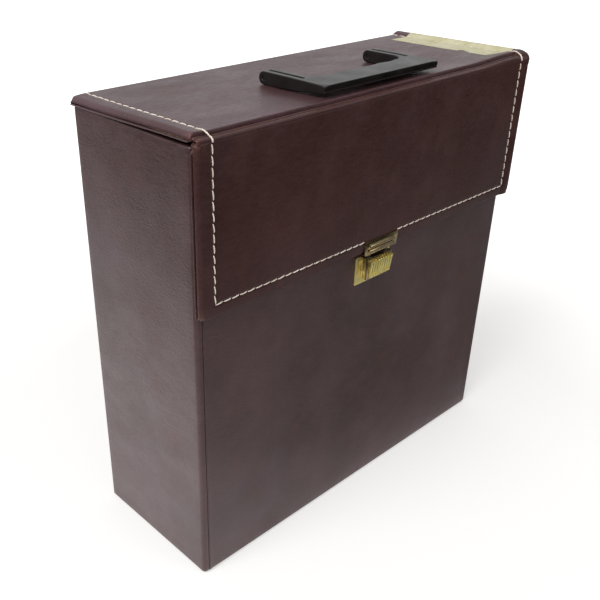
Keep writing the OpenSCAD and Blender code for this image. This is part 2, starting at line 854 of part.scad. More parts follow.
// The catch: a bent strip of spring steel on the base plate with two fingers that stand up through
// the top of the housing, and a ramp that the carriage's nub presses to draw the fingers down
module catch_spring() {
    foot_x = lock_rivet_x - rivet_head_r - lock_fit;
    foot_z = cavity_bottom + 0.4;
    bend_z = spring_z + spring_coil_r + wire_r + lock_fit;
    crest_z = cavity_top - 3;
    rise_z = crest_z - 2;
    tip_z = hasp_bottom + hasp_shelf_t;
    ramp_out = plate_t + finger_t + 0.4 * (finger_out - plate_t);
    color("#b7b3a4") {
        translate([-foot_x, -case_d / 2, 0]) rotate([90, 0, 90]) linear_extrude(2 * foot_x)
            polygon([
                [-plate_t, foot_z], [-plate_t, bend_z], [-finger_out, rise_z], [-finger_out, crest_z],
                [-finger_out - finger_t, crest_z], [-finger_out - finger_t, rise_z],
                [-plate_t - finger_t, bend_z], [-plate_t - finger_t, foot_z]
            ]);
        front_slab([-finger_x - finger_w / 2, finger_x + finger_w / 2],
            [finger_out, finger_out + finger_t], [crest_z - 1.5, crest_z]);
        for (x = [-finger_x, finger_x])
            front_slab([x - finger_w / 2, x + finger_w / 2], [finger_out, finger_out + finger_t],
                [crest_z - 1.5, tip_z]);
        translate([0, -case_d / 2, cam_z]) linear_extrude(cam_h)
            polygon([[cam_x, -ramp_out], [cam_x + 2, lock_fit - carriage_out],
                [cam_x + 7, lock_fit - carriage_out], [cam_x + 7, -ramp_out]]);
    }
}

// The ribbed brass wedge that the thumb pushes, with the stem that goes into the housing
module thumb_slide() {
    low = slide_top - slide_h;
    narrow = 1.2;
    pitch = slide_w / slide_ribs;
    lean = atan((slide_top_t - slide_foot_t) / slide_h);
    groove_w = 0.35 * pitch;
    color("#d8c47c") {
        difference() {
            intersection() {
                translate([0, -case_d / 2 - slide_back, 0]) rotate([90, 0, 0]) linear_extrude(slide_top_t)
                    polygon([[-slide_w / 2 + narrow, low], [slide_w / 2 - narrow, low],
                        [slide_w / 2, slide_top], [-slide_w / 2, slide_top]]);
                translate([-slide_w, -case_d / 2 - slide_back, 0]) rotate([90, 0, 90]) linear_extrude(2 * slide_w)
                    polygon([[0, low], [0, slide_top], [-slide_top_t, slide_top], [-slide_foot_t, low]]);
            }
            for (i = [1 : slide_ribs - 1])
                translate([(i - slide_ribs / 2) * pitch, -case_d / 2 - slide_back - slide_foot_t, low])
                    rotate([-lean, 0, 0])
                        translate([-groove_w / 2, -past + 0.4, -past]) cube([groove_w, past, slide_h + 2 * past]);
        }
        front_slab([-stem_x, stem_x], [carriage_out, slide_back], [slide_mid - stem_z, slide_mid + stem_z]);
    }
}

// The plate inside the housing that holds the slide on, with a tab that the return spring pushes and
// a nub that presses the catch
module slide_carriage() {
    half_w = 7;
    half_h = 4.2;
    tab = 1.6;
    nub = 2;
    color("#a8a294") {
        difference() {
            front_slab([-half_w, half_w], [carriage_out, carriage_out + carriage_t],
                [slide_mid - half_h, slide_mid + half_h]);
            front_slab([-stem_x - fit, stem_x + fit], [0, past],
                [slide_mid - stem_z - fit, slide_mid + stem_z + fit]);
        }
        front_slab([spring_left - tab, spring_left], [spring_out - spring_coil_r, carriage_out + carriage_t],
            [cavity_bottom + 0.3, slide_mid - half_h + 0.5]);
        front_slab([cam_x - fit - nub, cam_x - fit], [carriage_out - cam_push, carriage_out + carriage_t / 2],
            [cam_z, cam_z + cam_h]);
    }
}

// The return spring: a round wire swept along a helix between the tab and the housing's wall
function helix_centre(i, steps, length) =
    let (a = 360 * spring_turns * i / steps) [length * i / steps, spring_coil_r * cos(a), spring_coil_r * sin(a)];

function ring(i, steps, length, sides) =
    let (a = 360 * spring_turns * i / steps, c = helix_centre(i, steps, length))
        [for (k = [0 : sides - 1]) let (b = 360 * k / sides)
            [c[0] + wire_r * sin(b), c[1] + wire_r * cos(b) * cos(a), c[2] + wire_r * cos(b) * sin(a)]];

module slide_spring() {
    sides = 6;
    steps = 14 * spring_turns;
    length = cavity_x - spring_left - 2 * wire_r - fit;
    points = [for (i = [0 : steps]) each ring(i, steps, length, sides)];
    faces = concat(
        [[for (k = [0 : sides - 1]) k]],
        [for (i = [0 : steps - 1], k = [0 : sides - 1])
            let (a = i * sides + k, b = i * sides + (k + 1) % sides) [a, a + sides, b + sides, b]],
        [[for (k = [sides - 1 : -1 : 0]) steps * sides + k]]);
    color("silver")
        translate([spring_left + wire_r + fit / 2, -case_d / 2 - spring_out, spring_z])
            polyhedron(points, faces, convexity = 10);
}

front_board();
back_board();
left_board();
right_board();
base_board();
front_cover();
back_cover();
left_cover();
right_cover();
base_cover();
wall_lining();
floor_lining();
back_hinge();
lid_board_panel();
lid_padding();
lid_cover();
lid_lining();
fold_welt();
name_tape();
flap_board_panel();
flap_padding();
flap_cover();
flap_lining();
handle_grip();
handle_pins();
handle_staples();
staple_washers();
hasp_plate();
hasp_rivets();
lock_base();
lock_housing();
lock_rivets();
lock_washers();
catch_spring();
thumb_slide();
slide_carriage();
slide_spring();
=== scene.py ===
# %% [markdown]
# # A record carrying case
# This lesson dresses a record case that was first built as exact solids. The solids say where every
# piece is and how it moves. Here each visible piece gets the surface of the real thing: grained
# leatherette, padded panels with a stitched border, a moulded handle and a small brass lock.
# Everything is in metres, in the same frame as the solids: X to the right, the front at -Y, Z up.

# %% Load the frame
import math

import bmesh
import bpy
import numpy as np
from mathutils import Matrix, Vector, noise


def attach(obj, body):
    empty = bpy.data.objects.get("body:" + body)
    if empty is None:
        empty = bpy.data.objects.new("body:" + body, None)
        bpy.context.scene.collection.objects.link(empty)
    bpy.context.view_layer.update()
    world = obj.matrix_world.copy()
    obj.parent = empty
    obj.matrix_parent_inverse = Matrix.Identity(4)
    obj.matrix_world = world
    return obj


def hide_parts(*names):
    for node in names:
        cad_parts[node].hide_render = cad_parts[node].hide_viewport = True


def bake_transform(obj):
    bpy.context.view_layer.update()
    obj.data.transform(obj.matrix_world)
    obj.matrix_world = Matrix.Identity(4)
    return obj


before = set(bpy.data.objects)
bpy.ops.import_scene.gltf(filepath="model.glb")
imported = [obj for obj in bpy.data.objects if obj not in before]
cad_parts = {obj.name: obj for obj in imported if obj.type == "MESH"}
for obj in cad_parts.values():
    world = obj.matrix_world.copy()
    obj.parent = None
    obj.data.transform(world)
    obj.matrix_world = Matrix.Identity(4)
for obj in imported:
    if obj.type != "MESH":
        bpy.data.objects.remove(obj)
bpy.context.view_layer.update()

MM = 0.001
print("solids loaded:", len(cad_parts))

# %% [markdown]
# ## The camera
# The photograph was taken from the front left and from above. A camera fitted to the case's corners
# gives its place, its turn and a lens of about 48 mm. The small shift stands for the crop.

# %% Camera
camera_data = bpy.data.cameras.new("camera")
camera_data.lens = 47.73
camera_data.sensor_width = 36
camera_data.shift_x = 0.10
camera_data.shift_y = 0.03
camera_data.clip_start = 0.01
camera = bpy.data.objects.new("camera", camera_data)
camera.location = (-0.43834, -0.39978, 0.46206)
camera.rotation_euler = [math.radians(a) for a in (60.915, 0.143, -42.102)]
bpy.context.scene.collection.objects.link(camera)
bpy.context.scene.camera = camera
bpy.context.scene.view_settings.view_transform = "Standard"
print("camera at", [round(c, 3) for c in camera.location])

# %% [markdown]
# ## Sizes that several pieces share
# The skins below follow the solids, so they repeat their main sizes, in millimetres. The lid and the
# flap reach a little further out at the right, where their border is stuffed more fully.

# %% Sizes in millimetres
CASE_W, CASE_D, CASE_H = 340.0, 123.0, 331.0
CORNER_R = 3.5
SKIN = 0.9
WALL = 4.8
SEAM_X = 165.0
TURN_OVER = 14.0
SHEET_LAP = 12.0
FRONT = -CASE_D / 2
STRIP_LOW, STRIP_TOP = 306.0, 335.8
LID_LOW, LID_TOP = 332.9, 337.8
LID_HALF, RIGHT_HALF = 170.9, 172.0
LID_FRONT, LID_BACK = -62.0, 61.5
FLAP_LOW, FLAP_TOP, FLAP_RAISED = 221.6, 330.5, 333.4
FLAP_BACK_OUT, FLAP_FACE_OUT = 1.9, 6.8
LINING_HALF, LINING_THICK = 171.5, 1.6
LINING_FRONT, LINING_LOW = -60.5, 331.3
BORDER = 11.0
STITCH_PITCH = 6.75
STITCH_X, STITCH_Z = 160.0, 230.6
HASP_HALF = 19.0
print(f"lid panel is {LID_TOP - LID_LOW:.1f} mm thick without its lining")

# %% [markdown]
# ## Small tools for meshes
# Most skins here are sheets: a grid of points that is wrapped round the case. Helpers turn such a
# grid into a mesh, give it its thickness, close a tube through rings of points, and turn a finished
# modifier stack into a plain mesh. A few more make lists of places and soft changes.


# %% Mesh helpers
def shown(name, data):
    obj = bpy.data.objects.new(name, data)
    bpy.context.scene.collection.objects.link(obj)
    return obj


def mesh_from(name, points_mm, faces):
    mesh = bpy.data.meshes.new(name)
    mesh.from_pydata([tuple(c * MM for c in p) for p in points_mm], [], faces)
    mesh.update()
    mesh.shade_smooth()
    return shown(name, mesh)


def clean_up(obj, distance, recalc=True):
    """Joins points that lie within a distance, and makes the normals agree."""
    work = bmesh.new()
    work.from_mesh(obj.data)
    bmesh.ops.remove_doubles(work, verts=work.verts, dist=distance * MM)
    if recalc:
        bmesh.ops.recalc_face_normals(work, faces=work.faces)
    work.to_mesh(obj.data)
    work.free()
    return obj


def plain_mesh(obj):
    graph = bpy.context.evaluated_depsgraph_get()
    return bpy.data.meshes.new_from_object(obj.evaluated_get(graph), depsgraph=graph)


def made_plain(obj):
    mesh = plain_mesh(obj)
    obj.modifiers.clear()
    obj.data = mesh
    return obj


def skin_from(name, grid, near_mm, outward, thickness_mm, merge=None, recalc=False):
    """A sheet with its outer face on a grid of points; outward is where it looks, near a place."""
    rows, cols, _ = np.shape(grid)
    first = [i * cols + j for i in range(rows - 1) for j in range(cols - 1)]
    faces = [(a, a + cols, a + cols + 1, a + 1) for a in first]
    obj = mesh_from(name, np.reshape(grid, (-1, 3)).tolist(), faces)
    if merge:
        clean_up(obj, merge, recalc)
    near = Vector(near_mm) * MM
    face = min(obj.data.polygons, key=lambda p: (p.center - near).length)
    if face.normal.dot(Vector(outward)) < 0:
        obj.data.flip_normals()
    solid = obj.modifiers.new("thickness", "SOLIDIFY")
    solid.thickness = thickness_mm * MM
    solid.offset = -1.0
    solid.use_even_offset = False
    return made_plain(obj)


def tube_from(name, rings, merge):
    """A closed form through rings of points, with a flat cap at each end."""
    count = len(rings[0])
    faces = []
    for i in range(0, (len(rings) - 1) * count, count):
        for j in range(count):
            k = (j + 1) % count
            faces.append((i + j, i + k, i + count + k, i + count + j))
    last = (len(rings) - 1) * count
    faces += [tuple(range(count))[::-1], tuple(range(last, last + count))]
    return clean_up(mesh_from(name, [p for ring in rings for p in ring], faces), merge)


def joined(name, parts):
    work = bmesh.new()
    for part in parts:
        work.from_mesh(part.data)
        bpy.data.objects.remove(part)
    mesh = bpy.data.meshes.new(name)
    work.to_mesh(mesh)
    work.free()
    mesh.shade_smooth()
    return shown(name, mesh)


def add_wear(obj, rule):
    """Writes how rubbed each point is, which the leatherette reads."""
    wear = obj.data.attributes.new("wear", "FLOAT", "POINT")
    for i, vertex in enumerate(obj.data.vertices):
        wear.data[i].value = clamp(rule(vertex.co / MM))


def finish_piece(obj, body, finish, *nodes):
    """Gives a piece its material in one material slot, hides the solids that it stands for, and puts it under
    its body if it has one.
    """
    obj.data.materials.clear()
    obj.data.materials.append(MATERIALS[finish])
    for polygon in obj.data.polygons:
        polygon.material_index = 0
    if nodes:
        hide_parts(*nodes)
    if body:
        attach(obj, body)
    print(obj.name, len(obj.data.polygons), "faces")
    return obj


# %% Places and soft changes
def steps(start, end, size):
    count = max(1, int(math.ceil(abs(end - start) / size)))
    return [start + (end - start) * i / count for i in range(count + 1)]


def edged(half, size):
    """Places from -half to half, close together at both ends."""
    ends = [half, half - 0.3, half - 0.8]
    return [-e for e in ends] + steps(-half + 3, half - 3, size) + ends[::-1]


def clamp(t):
    return max(0.0, min(1.0, t))


def ease(t):
    """From 0 to 1 with a soft start and end."""
    t = clamp(t)
    return t * t * (3 - 2 * t)


def bell(t):
    return math.exp(-(t**2))


def arc(cx, cz, radius, start, end, count=6):
    angles = [math.radians(start + (end - start) * i / count) for i in range(count + 1)]
    return [(cx + radius * math.cos(a), cz + radius * math.sin(a)) for a in angles]


def moved_out(line, distance):
    """A line in a plane, moved sideways by a distance."""
    tangent = np.gradient(line, axis=0)
    tangent /= np.linalg.norm(tangent, axis=1)[:, None]
    return line + distance * np.stack([tangent[:, 1], -tangent[:, 0]], axis=1)


print("helpers made")

# %% [markdown]
# ## Small tools for node trees
# Every finish is built from the same few nodes: noise for broad changes, cells for grain, and a
# bump. All patterns read Object coordinates, so they stay with the piece when it moves. The same
# short names serve the world and the stitches' Geometry Nodes.


# %% Node helpers
class Nodes:
    def __init__(self, tree):
        self.tree = tree

    def feed(self, value, socket):
        """Links an output to the socket, or writes a constant on it."""
        if isinstance(value, bpy.types.NodeSocket):
            self.tree.links.new(value, socket)
        elif isinstance(value, tuple) and socket.type == "RGBA":
            socket.default_value = (*value, 1.0)
        else:
            socket.default_value = value

    def feed_all(self, values, sockets):
        for value, socket in zip(values, sockets):
            self.feed(value, socket)

    def add(self, kind, **values):
        """A node; each value goes to its input of that name, or else to its setting."""
        node = self.tree.nodes.new(kind)
        for key, value in values.items():
            label = key.replace("_", " ")
            if label in node.inputs:
                self.feed(value, node.inputs[label])
            else:
                setattr(node, key, value)
        return node

    def ramp(self, value, low, high, a=0.0, b=1.0):
        node = self.add("ShaderNodeMapRange", From_Min=low, From_Max=high, To_Min=a, To_Max=b, Value=value)
        return node.outputs["Result"]

    def math(self, operation, value, *others):
        """The operation on a value and each other value in turn."""
        for other in others or (0.0,):
            node = self.add("ShaderNodeMath", operation=operation)
            self.feed_all((value, other), node.inputs)
            value = node.outputs["Value"]
        return value

    def shaders(self, kind, first, second, **values):
        """A node that puts two shaders together."""
        node = self.add(kind, **values)
        sockets = [s for s in node.inputs if s.type == "SHADER"]
        self.feed_all((first.outputs[0], second.outputs[0]), sockets)
        return node


class Finish(Nodes):
    def __init__(self, name):
        self.material = bpy.data.materials.new(name)
        self.material.use_nodes = True
        super().__init__(self.material.node_tree)
        self.shader = self.tree.nodes["Principled BSDF"]
        self.coordinates = self.add("ShaderNodeTexCoord").outputs["Object"]

    def stretched(self, scale):
        return self.add("ShaderNodeMapping", Scale=scale, Vector=self.coordinates).outputs["Vector"]

    def noise(self, scale, detail=3.0, vector=None, roughness=0.5, output="Fac"):
        node = self.add("ShaderNodeTexNoise", Scale=scale, Detail=detail, Roughness=roughness,
                        Vector=vector or self.coordinates)
        return node.outputs[output]

    def cells(self, scale, vector=None, feature="F1"):
        node = self.add("ShaderNodeTexVoronoi", feature=feature, Scale=scale,
                        Vector=vector or self.coordinates)
        return node.outputs["Distance"]

    def mix(self, factor, a, b):
        node = self.add("ShaderNodeMix", data_type="RGBA", Factor=factor)
        self.feed_all((a, b), [s for s in node.inputs if s.type == "RGBA"])
        return [s for s in node.outputs if s.type == "RGBA"][0]

    def tint(self, colour, other, amount, value, low, high):
        """Lays an amount of another colour over a colour where a pattern is high."""
        return self.mix(self.ramp(value, low, high, 0.0, amount), colour, other)

    def bump(self, height, distance, strength=1.0, **under):
        """A bump; Normal names the one that it lies on."""
        node = self.add("ShaderNodeBump", Strength=strength, Distance=distance, Height=height, **under)
        return node.outputs["Normal"]

    def set(self, **values):
        for key, value in values.items():
            self.feed(value, self.shader.inputs[key.replace("_", " ")])
        return self.material


def srgb(*levels):
    """A colour as a screen shows it, with levels up to 255, in the linear values of a shader."""
    shares = [c / 255 for c in levels]
    return tuple(c / 12.92 if c <= 0.04045 else ((c + 0.055) / 1.055) ** 2.4 for c in shares)


print("node helpers made")

# %% [markdown]
# ## Leatherette
# The case is covered in dark brown plastic cloth with an embossed leather grain. Close to, it is a
# net of small cells about a millimetre across, drawn out along the roll. Further away it has broad
# soft patches, a few long creases, and a dull gloss that is broken by the slight waves of the sheet
# on its board. Where hands and shelves rub, the brown turns redder and lighter: the meshes carry
# that as an attribute called wear, so the rubbed places follow the shape.


# %% Leatherette
PATCH, MILKY, DRAWN, RUBBED = srgb(84, 52, 42), srgb(146, 118, 138), srgb(112, 86, 84), srgb(140, 92, 76)


def grain_cells(f, along):
    """Small cells of an uneven net, bent by a noise so that none is straight."""
    swirl = f.noise(260.0, 2.0, along, output="Color")
    bend = f.add("ShaderNodeVectorMath", operation="MULTIPLY_ADD")
    f.feed_all((swirl, (0.0016, 0.0016, 0.0016), along), bend.inputs)
    return f.cells(620.0, bend.outputs["Vector"])


def leatherette(name, stretch, roll, dark, light, veil=1.0, shine=0.58):
    """Stretch is the grain's, roll the direction of the streaks, veil the milky haze on top."""
    f = Finish(name)
    along = f.stretched(stretch)
    grain = grain_cells(f, along)
    streak = f.noise(520.0, 3.0, f.stretched(roll), 0.65)
    broad = f.noise(7.0, 4.0, roughness=0.6)
    cloudy = f.noise(38.0, 3.0, along, 0.6)
    wear = f.add("ShaderNodeAttribute", attribute_name="wear").outputs["Fac"]
    rubbed = f.math("MULTIPLY", wear, f.ramp(f.noise(420.0), 0.30, 0.62))
    colour = f.mix(f.ramp(broad, 0.32, 0.70), dark, light)
    colour = f.mix(f.ramp(grain, 0.05, 0.45, 0.30, 0.0), colour, tuple(c * 0.55 for c in dark))
    colour = f.tint(colour, PATCH, 0.35, cloudy, 0.52, 0.80)
    colour = f.tint(colour, MILKY, 0.10 * veil, f.noise(16.0, 4.0, roughness=0.62), 0.42, 0.72)
    colour = f.tint(colour, DRAWN, 0.12 * veil, streak, 0.35, 0.68)
    colour = f.mix(rubbed, colour, RUBBED)
    rough = f.math("ADD", f.ramp(cloudy, 0.3, 0.7, 0.35, 0.47), f.ramp(grain, 0.0, 0.5, 0.06, -0.02),
                   f.ramp(streak, 0.3, 0.7, -0.05, 0.06))
    crease = f.cells(9.0, f.stretched((1.0, 0.7, 2.6)), "DISTANCE_TO_EDGE")
    crease = f.math("MULTIPLY", f.ramp(crease, 0.0, 0.012, 1.0, 0.0), f.ramp(f.noise(11.0, 2.0), 0.56, 0.70))
    normal = f.bump(f.noise(13.0, 2.0), 0.0009)
    normal = f.bump(crease, 0.00022, 0.22, Normal=normal)
    normal = f.bump(streak, 0.00010, 0.5, Normal=normal)
    normal = f.bump(grain, 0.00014, 0.6, Normal=normal)
    normal = f.bump(f.noise(2600.0, 2.0, along), 0.00004, 0.35, Normal=normal)
    return f.set(Base_Color=colour, Roughness=rough, Normal=normal, Specular_IOR_Level=shine,
                 Specular_Tint=(1.0, 0.82, 0.92))


MATERIALS = {
    "box": leatherette("leatherette_box", (1.0, 0.62, 1.25), (0.3, 0.3, 1.0),
                       srgb(50, 33, 30), srgb(66, 44, 40)),
    "lid": leatherette("leatherette_lid", (0.62, 1.2, 1.2), (0.3, 1.0, 1.0),
                       srgb(57, 35, 36), srgb(74, 47, 49)),
    "flap": leatherette("leatherette_flap", (1.1, 1.1, 0.7), (0.3, 1.0, 1.0),
                        srgb(49, 26, 22), srgb(64, 35, 29), veil=0.40, shine=0.40),
}
print("leatherette made for", sorted(MATERIALS))

# %% [markdown]
# ## Board, wadding, paper and tape
# Inside the covers are grey-brown chipboard and a thin layer of wadding. The box is lined with a
# plain warm paper. The name tape on the lid is crepe paper tape, yellowed and a little creased.


# %% Board and paper
def fibre_board():
    f = Finish("chipboard")
    flecks = f.cells(900.0, f.stretched((1.0, 1.0, 0.4)))
    colour = f.mix(f.ramp(flecks, 0.1, 0.6), srgb(120, 100, 78), srgb(172, 150, 118))
    return f.set(Base_Color=colour, Roughness=0.9, Normal=f.bump(flecks, 0.0001, 0.5))


def wadding():
    f = Finish("wadding")
    hair = f.noise(1400.0, 4.0, f.stretched((1.0, 0.3, 1.0)))
    colour = f.mix(f.ramp(hair, 0.35, 0.7), srgb(196, 188, 166), srgb(232, 227, 212))
    normal = f.bump(hair, 0.0003, 0.6)
    return f.set(Base_Color=colour, Roughness=0.95, Sheen_Weight=0.3, Normal=normal)


def lining_paper():
    f = Finish("lining_paper")
    pulp = f.noise(700.0, 4.0)
    stain = f.noise(9.0, 4.0, roughness=0.65)
    colour = f.mix(f.ramp(stain, 0.35, 0.7), srgb(208, 196, 168), srgb(188, 172, 140))
    colour = f.tint(colour, srgb(150, 130, 98), 0.25, pulp, 0.45, 0.75)
    return f.set(Base_Color=colour, Roughness=0.82, Normal=f.bump(pulp, 0.00006, 0.5))


def crepe_tape():
    f = Finish("paper_tape")
    crepe = f.noise(1500.0, 3.0, f.stretched((0.25, 2.4, 1.0)))
    patch = f.noise(55.0, 4.0, roughness=0.65)
    colour = f.mix(f.ramp(patch, 0.3, 0.7), srgb(194, 188, 148), srgb(214, 210, 180))
    colour = f.tint(colour, srgb(160, 146, 108), 0.5, f.noise(160.0, 4.0), 0.58, 0.75)
    folds = f.bump(f.noise(90.0, 3.0, f.stretched((1.0, 2.2, 1.0))), 0.0005, 0.6)
    return f.set(Base_Color=colour, Roughness=0.55, Normal=f.bump(crepe, 0.00008, 0.7, Normal=folds))


MATERIALS.update(board=fibre_board(), wadding=wadding(), paper=lining_paper(), tape=crepe_tape())
print("paper and board made")

# %% [markdown]
# ## Plastic, metal and thread
# The handle is moulded in black-brown plastic with a faint pebbled skin. The lock has two brasses:
# a bright yellow one on the base plate and the thumb slide, and a bronzed one, with darker patches,
# on the housing and the hasp. The thread is cream, laid up from two strands.


# %% Plastic, metals and thread
def moulded_plastic():
    f = Finish("grip_plastic")
    pebble = f.cells(1300.0)
    haze = f.noise(60.0, 4.0, roughness=0.6)
    colour = f.mix(f.ramp(haze, 0.35, 0.7), srgb(17, 14, 15), srgb(27, 22, 22))
    rough = f.ramp(haze, 0.3, 0.7, 0.26, 0.38)
    wave = f.bump(f.noise(120.0, 2.0), 0.00012, 0.6)
    return f.set(Base_Color=colour, Roughness=rough, Normal=f.bump(pebble, 0.00003, 0.5, Normal=wave),
                 Specular_IOR_Level=0.36, Specular_Tint=(1.0, 0.93, 0.92))


def metal(name, bright, dull, rough, cover=(0.40, 0.66), brush=(1.0, 1.0, 1.0)):
    """Cover says from where to where in the noise the metal turns dull, brush draws its fine lines."""
    f = Finish(name)
    patch = f.noise(110.0, 4.0, roughness=0.6)
    lines = f.noise(2600.0, 3.0, f.stretched(brush))
    colour = f.mix(f.ramp(patch, *cover), bright, dull)
    rough = f.math("ADD", f.ramp(patch, *cover, rough, rough + 0.14), f.ramp(lines, 0.3, 0.7, -0.03, 0.05))
    return f.set(Base_Color=colour, Metallic=1.0, Roughness=rough, Normal=f.bump(lines, 0.00002, 0.4))


def thread():
    f = Finish("thread")
    strands = f.noise(3600.0)
    colour = f.mix(f.ramp(f.noise(75.0), 0.35, 0.7), srgb(242, 232, 222), srgb(214, 198, 180))
    colour = f.tint(colour, srgb(168, 146, 120), 0.3, strands, 0.5, 0.75)
    normal = f.bump(strands, 0.0001, 0.6)
    return f.set(Base_Color=colour, Roughness=0.75, Sheen_Weight=0.2, Normal=normal)


MATERIALS["plastic"] = moulded_plastic()
for name, title, bright, dull, *finish in (
    ("brass", "bright_brass", srgb(255, 246, 172), srgb(248, 230, 146), 0.34),
    ("bronze", "bronzed_brass", srgb(192, 174, 134), srgb(122, 106, 76), 0.20, (0.42, 0.70)),
    ("steel", "steel", srgb(178, 176, 170), srgb(128, 124, 116), 0.28, (0.40, 0.66), (0.1, 1.0, 1.0)),
    ("pin", "blackened_steel", srgb(70, 66, 62), srgb(40, 37, 35), 0.35),
):
    MATERIALS[name] = metal(title, bright, dull, *finish)
MATERIALS["thread"] = thread()
print("plastic, metals and thread made")

# %% [markdown]
# ## The carried-over solids
# Pieces that show little or are already right keep their solid and only get their finish.

# %% Finishes of the solids
FINISH_OF = {
    "board": ("front_board", "back_board", "left_board", "right_board", "base_board",
              "lid_board_panel", "flap_board_panel"),
    "wadding": ("lid_padding", "flap_padding"),
    "paper": ("wall_lining", "floor_lining"),
    "box": ("front_cover", "back_cover", "left_cover", "right_cover", "base_cover", "back_hinge"),
    "lid": ("lid_cover", "lid_lining", "fold_welt"),
    "flap": ("flap_cover", "flap_lining"),
    "tape": ("name_tape",),
    "plastic": ("handle_grip",),
    "brass": ("lock_base", "thumb_slide", "lock_rivets", "hasp_rivets"),
    "bronze": ("lock_housing", "hasp_plate", "handle_staples"),
    "pin": ("handle_pins",),
    "steel": ("staple_washers", "lock_washers", "catch_spring", "slide_carriage", "slide_spring"),
}
for finish, nodes in FINISH_OF.items():
    for node in nodes:
        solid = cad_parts[node]
        solid.data.materials.clear()
        solid.data.materials.append(MATERIALS[finish])
print("finished solids:", sum(len(nodes) for nodes in FINISH_OF.values()))

# %% [markdown]
# ## The sheets of the box
# Each wall is covered by one sheet that starts inside the box, goes up and over the rim, down the
# wall, round the bottom edge and under the base. So a sheet is a strip that follows one profile.
# The profile is drawn as pairs of depth into the wall and height, and each sheet sweeps it: straight
# for the front and the back, and round two corners for the sides.


# %% Profile of a box sheet
CUT_R = 0.6
NEAR_EDGE = [0.0, 0.15, 0.35, 0.6, 1.0, 1.4, 1.9, 2.6, 4.0]


def wall_profile(under, rim_r=0.9, top=CASE_H):
    inner = [(WALL, z) for z in steps(CASE_H - TURN_OVER, top - rim_r, 4.0)]
    over = arc(WALL - rim_r, top - rim_r, rim_r, 0, 90)[1:]
    over += arc(rim_r, top - rim_r, rim_r, 90, 180)
    outer = [(0.0, z) for z in steps(top - rim_r, CORNER_R, 5.0)][1:]
    foot = arc(CORNER_R, CORNER_R, CORNER_R, 180, 270, 8)[1:]
    below = [(d, 0.0) for d in steps(CORNER_R, under, 3.0)][1:]
    return np.array(inner + over + outer + foot + below)


def edge_lift(distance):
    """How far a sheet's cut edge rises: a round edge, then the low ridge of the glued lap."""
    if distance < CUT_R:
        return -CUT_R + math.sqrt(max(0.0, CUT_R**2 - (CUT_R - distance) ** 2))
    return 0.16 * bell((distance - 1.3) / 0.8)


def cut_edge(distance):
    """From one on a sheet's cut edge to nothing a little way in."""
    return (1 - min(distance, CUT_R) / CUT_R) ** 2


print("wall profile has", len(wall_profile(SHEET_LAP)), "points")


# %% Front and back sheets
def flat_sheet(name, side):
    profile = wall_profile(SHEET_LAP)
    xs = [-SEAM_X + e for e in NEAR_EDGE] + steps(-SEAM_X + 4.0, SEAM_X - 4.0, 6.0)[1:-1]
    xs += [SEAM_X - e for e in reversed(NEAR_EDGE)]
    grid = []
    for x in xs:
        line = moved_out(profile, edge_lift(SEAM_X - abs(x)))
        grid.append([(x, side * (CASE_D / 2 - depth), z) for depth, z in line])
    return skin_from(name, grid, (0, side * CASE_D / 2, 150), (0, side, 0), SKIN)


def bottom_wear(p):
    """Rubbed along the bottom edge, most at the corners it stands on."""
    low = math.exp(-max(0.0, p.z) / 3.0)
    beside = math.hypot(max(0.0, CASE_W / 2 - abs(p.x)), max(0.0, CASE_D / 2 - abs(p.y)))
    corner = math.exp(-beside / 2.2)
    return 0.10 * low + 0.5 * low * corner + 0.06 * corner


print("sheets start", CASE_H - TURN_OVER, "mm up, inside the box")


# %% Side sheets
def side_line(inset):
    """The sheet's line seen from above at one depth: a short strip, the corner, the side."""
    y_face = CASE_D / 2 - 0.3 - inset
    r_x = max(CORNER_R - inset, 0.0)
    r_y = max(CORNER_R - 0.3 - inset, 0.0)
    cx = CASE_W / 2 - max(CORNER_R, inset)
    half = [(SEAM_X + 0.2 + (cx - SEAM_X - 0.2) * t, y_face) for t in (0.0, 0.5, 1.0)]
    half += [(cx + r_x * math.sin(a), y_face - r_y + r_y * math.cos(a))
             for a in [math.radians(11.25 * k) for k in range(1, 9)]]
    half += [(cx + r_x, y) for y in steps(y_face - r_y, 0.0, 5.0)][1:]
    return half + [(x, -y) for x, y in reversed(half[:-1])]


def side_sheet(name, side):
    grid = []
    for depth, height in wall_profile(WALL, rim_r=1.4, top=CASE_H - 0.1):
        pressed = 0.7 * ease((height - 300.0) / 30.0)
        line = side_line(max(0.0, depth))
        grid.append([(side * x, y, height - pressed * ease((50.0 - y) / 100.0)) for x, y in line])
    near = (side * CASE_W / 2, 0, 150)
    return skin_from(name, grid, near, (side, 0, 0), SKIN, merge=0.01, recalc=True)


for make, name, side, node in (
    (flat_sheet, "front_sheet", -1, "front_cover"),
    (flat_sheet, "back_sheet", 1, "back_cover"),
    (side_sheet, "left_sheet", -1, "left_cover"),
    (side_sheet, "right_sheet", 1, "right_cover"),
):
    sheet = make(name, side)
    add_wear(sheet, bottom_wear)
    finish_piece(sheet, "case", "box", node)


# %% Base sheet
def base_sheet():
    half_d = CASE_D / 2 - SHEET_LAP - 0.2
    grid = [[(x, y, 0.3 * cut_edge(min(SEAM_X - abs(x), half_d - abs(y)))) for y in edged(half_d, 8.0)]
            for x in edged(SEAM_X, 12.0)]
    return skin_from("base_sheet", grid, (0, 0, 0), (0, 0, -1), SKIN * 0.66)


finish_piece(base_sheet(), "case", "box", "base_cover")

# %% [markdown]
# ## The hinge strip
# One strip of leatherette is glued to the back of the box and to the back edge of the lid. It bends
# along a fine bead when the lid opens. Here it is one fixed sheet with the bead along its length,
# and it belongs to neither body.


# %% Hinge strip
BEAD_R = 0.6


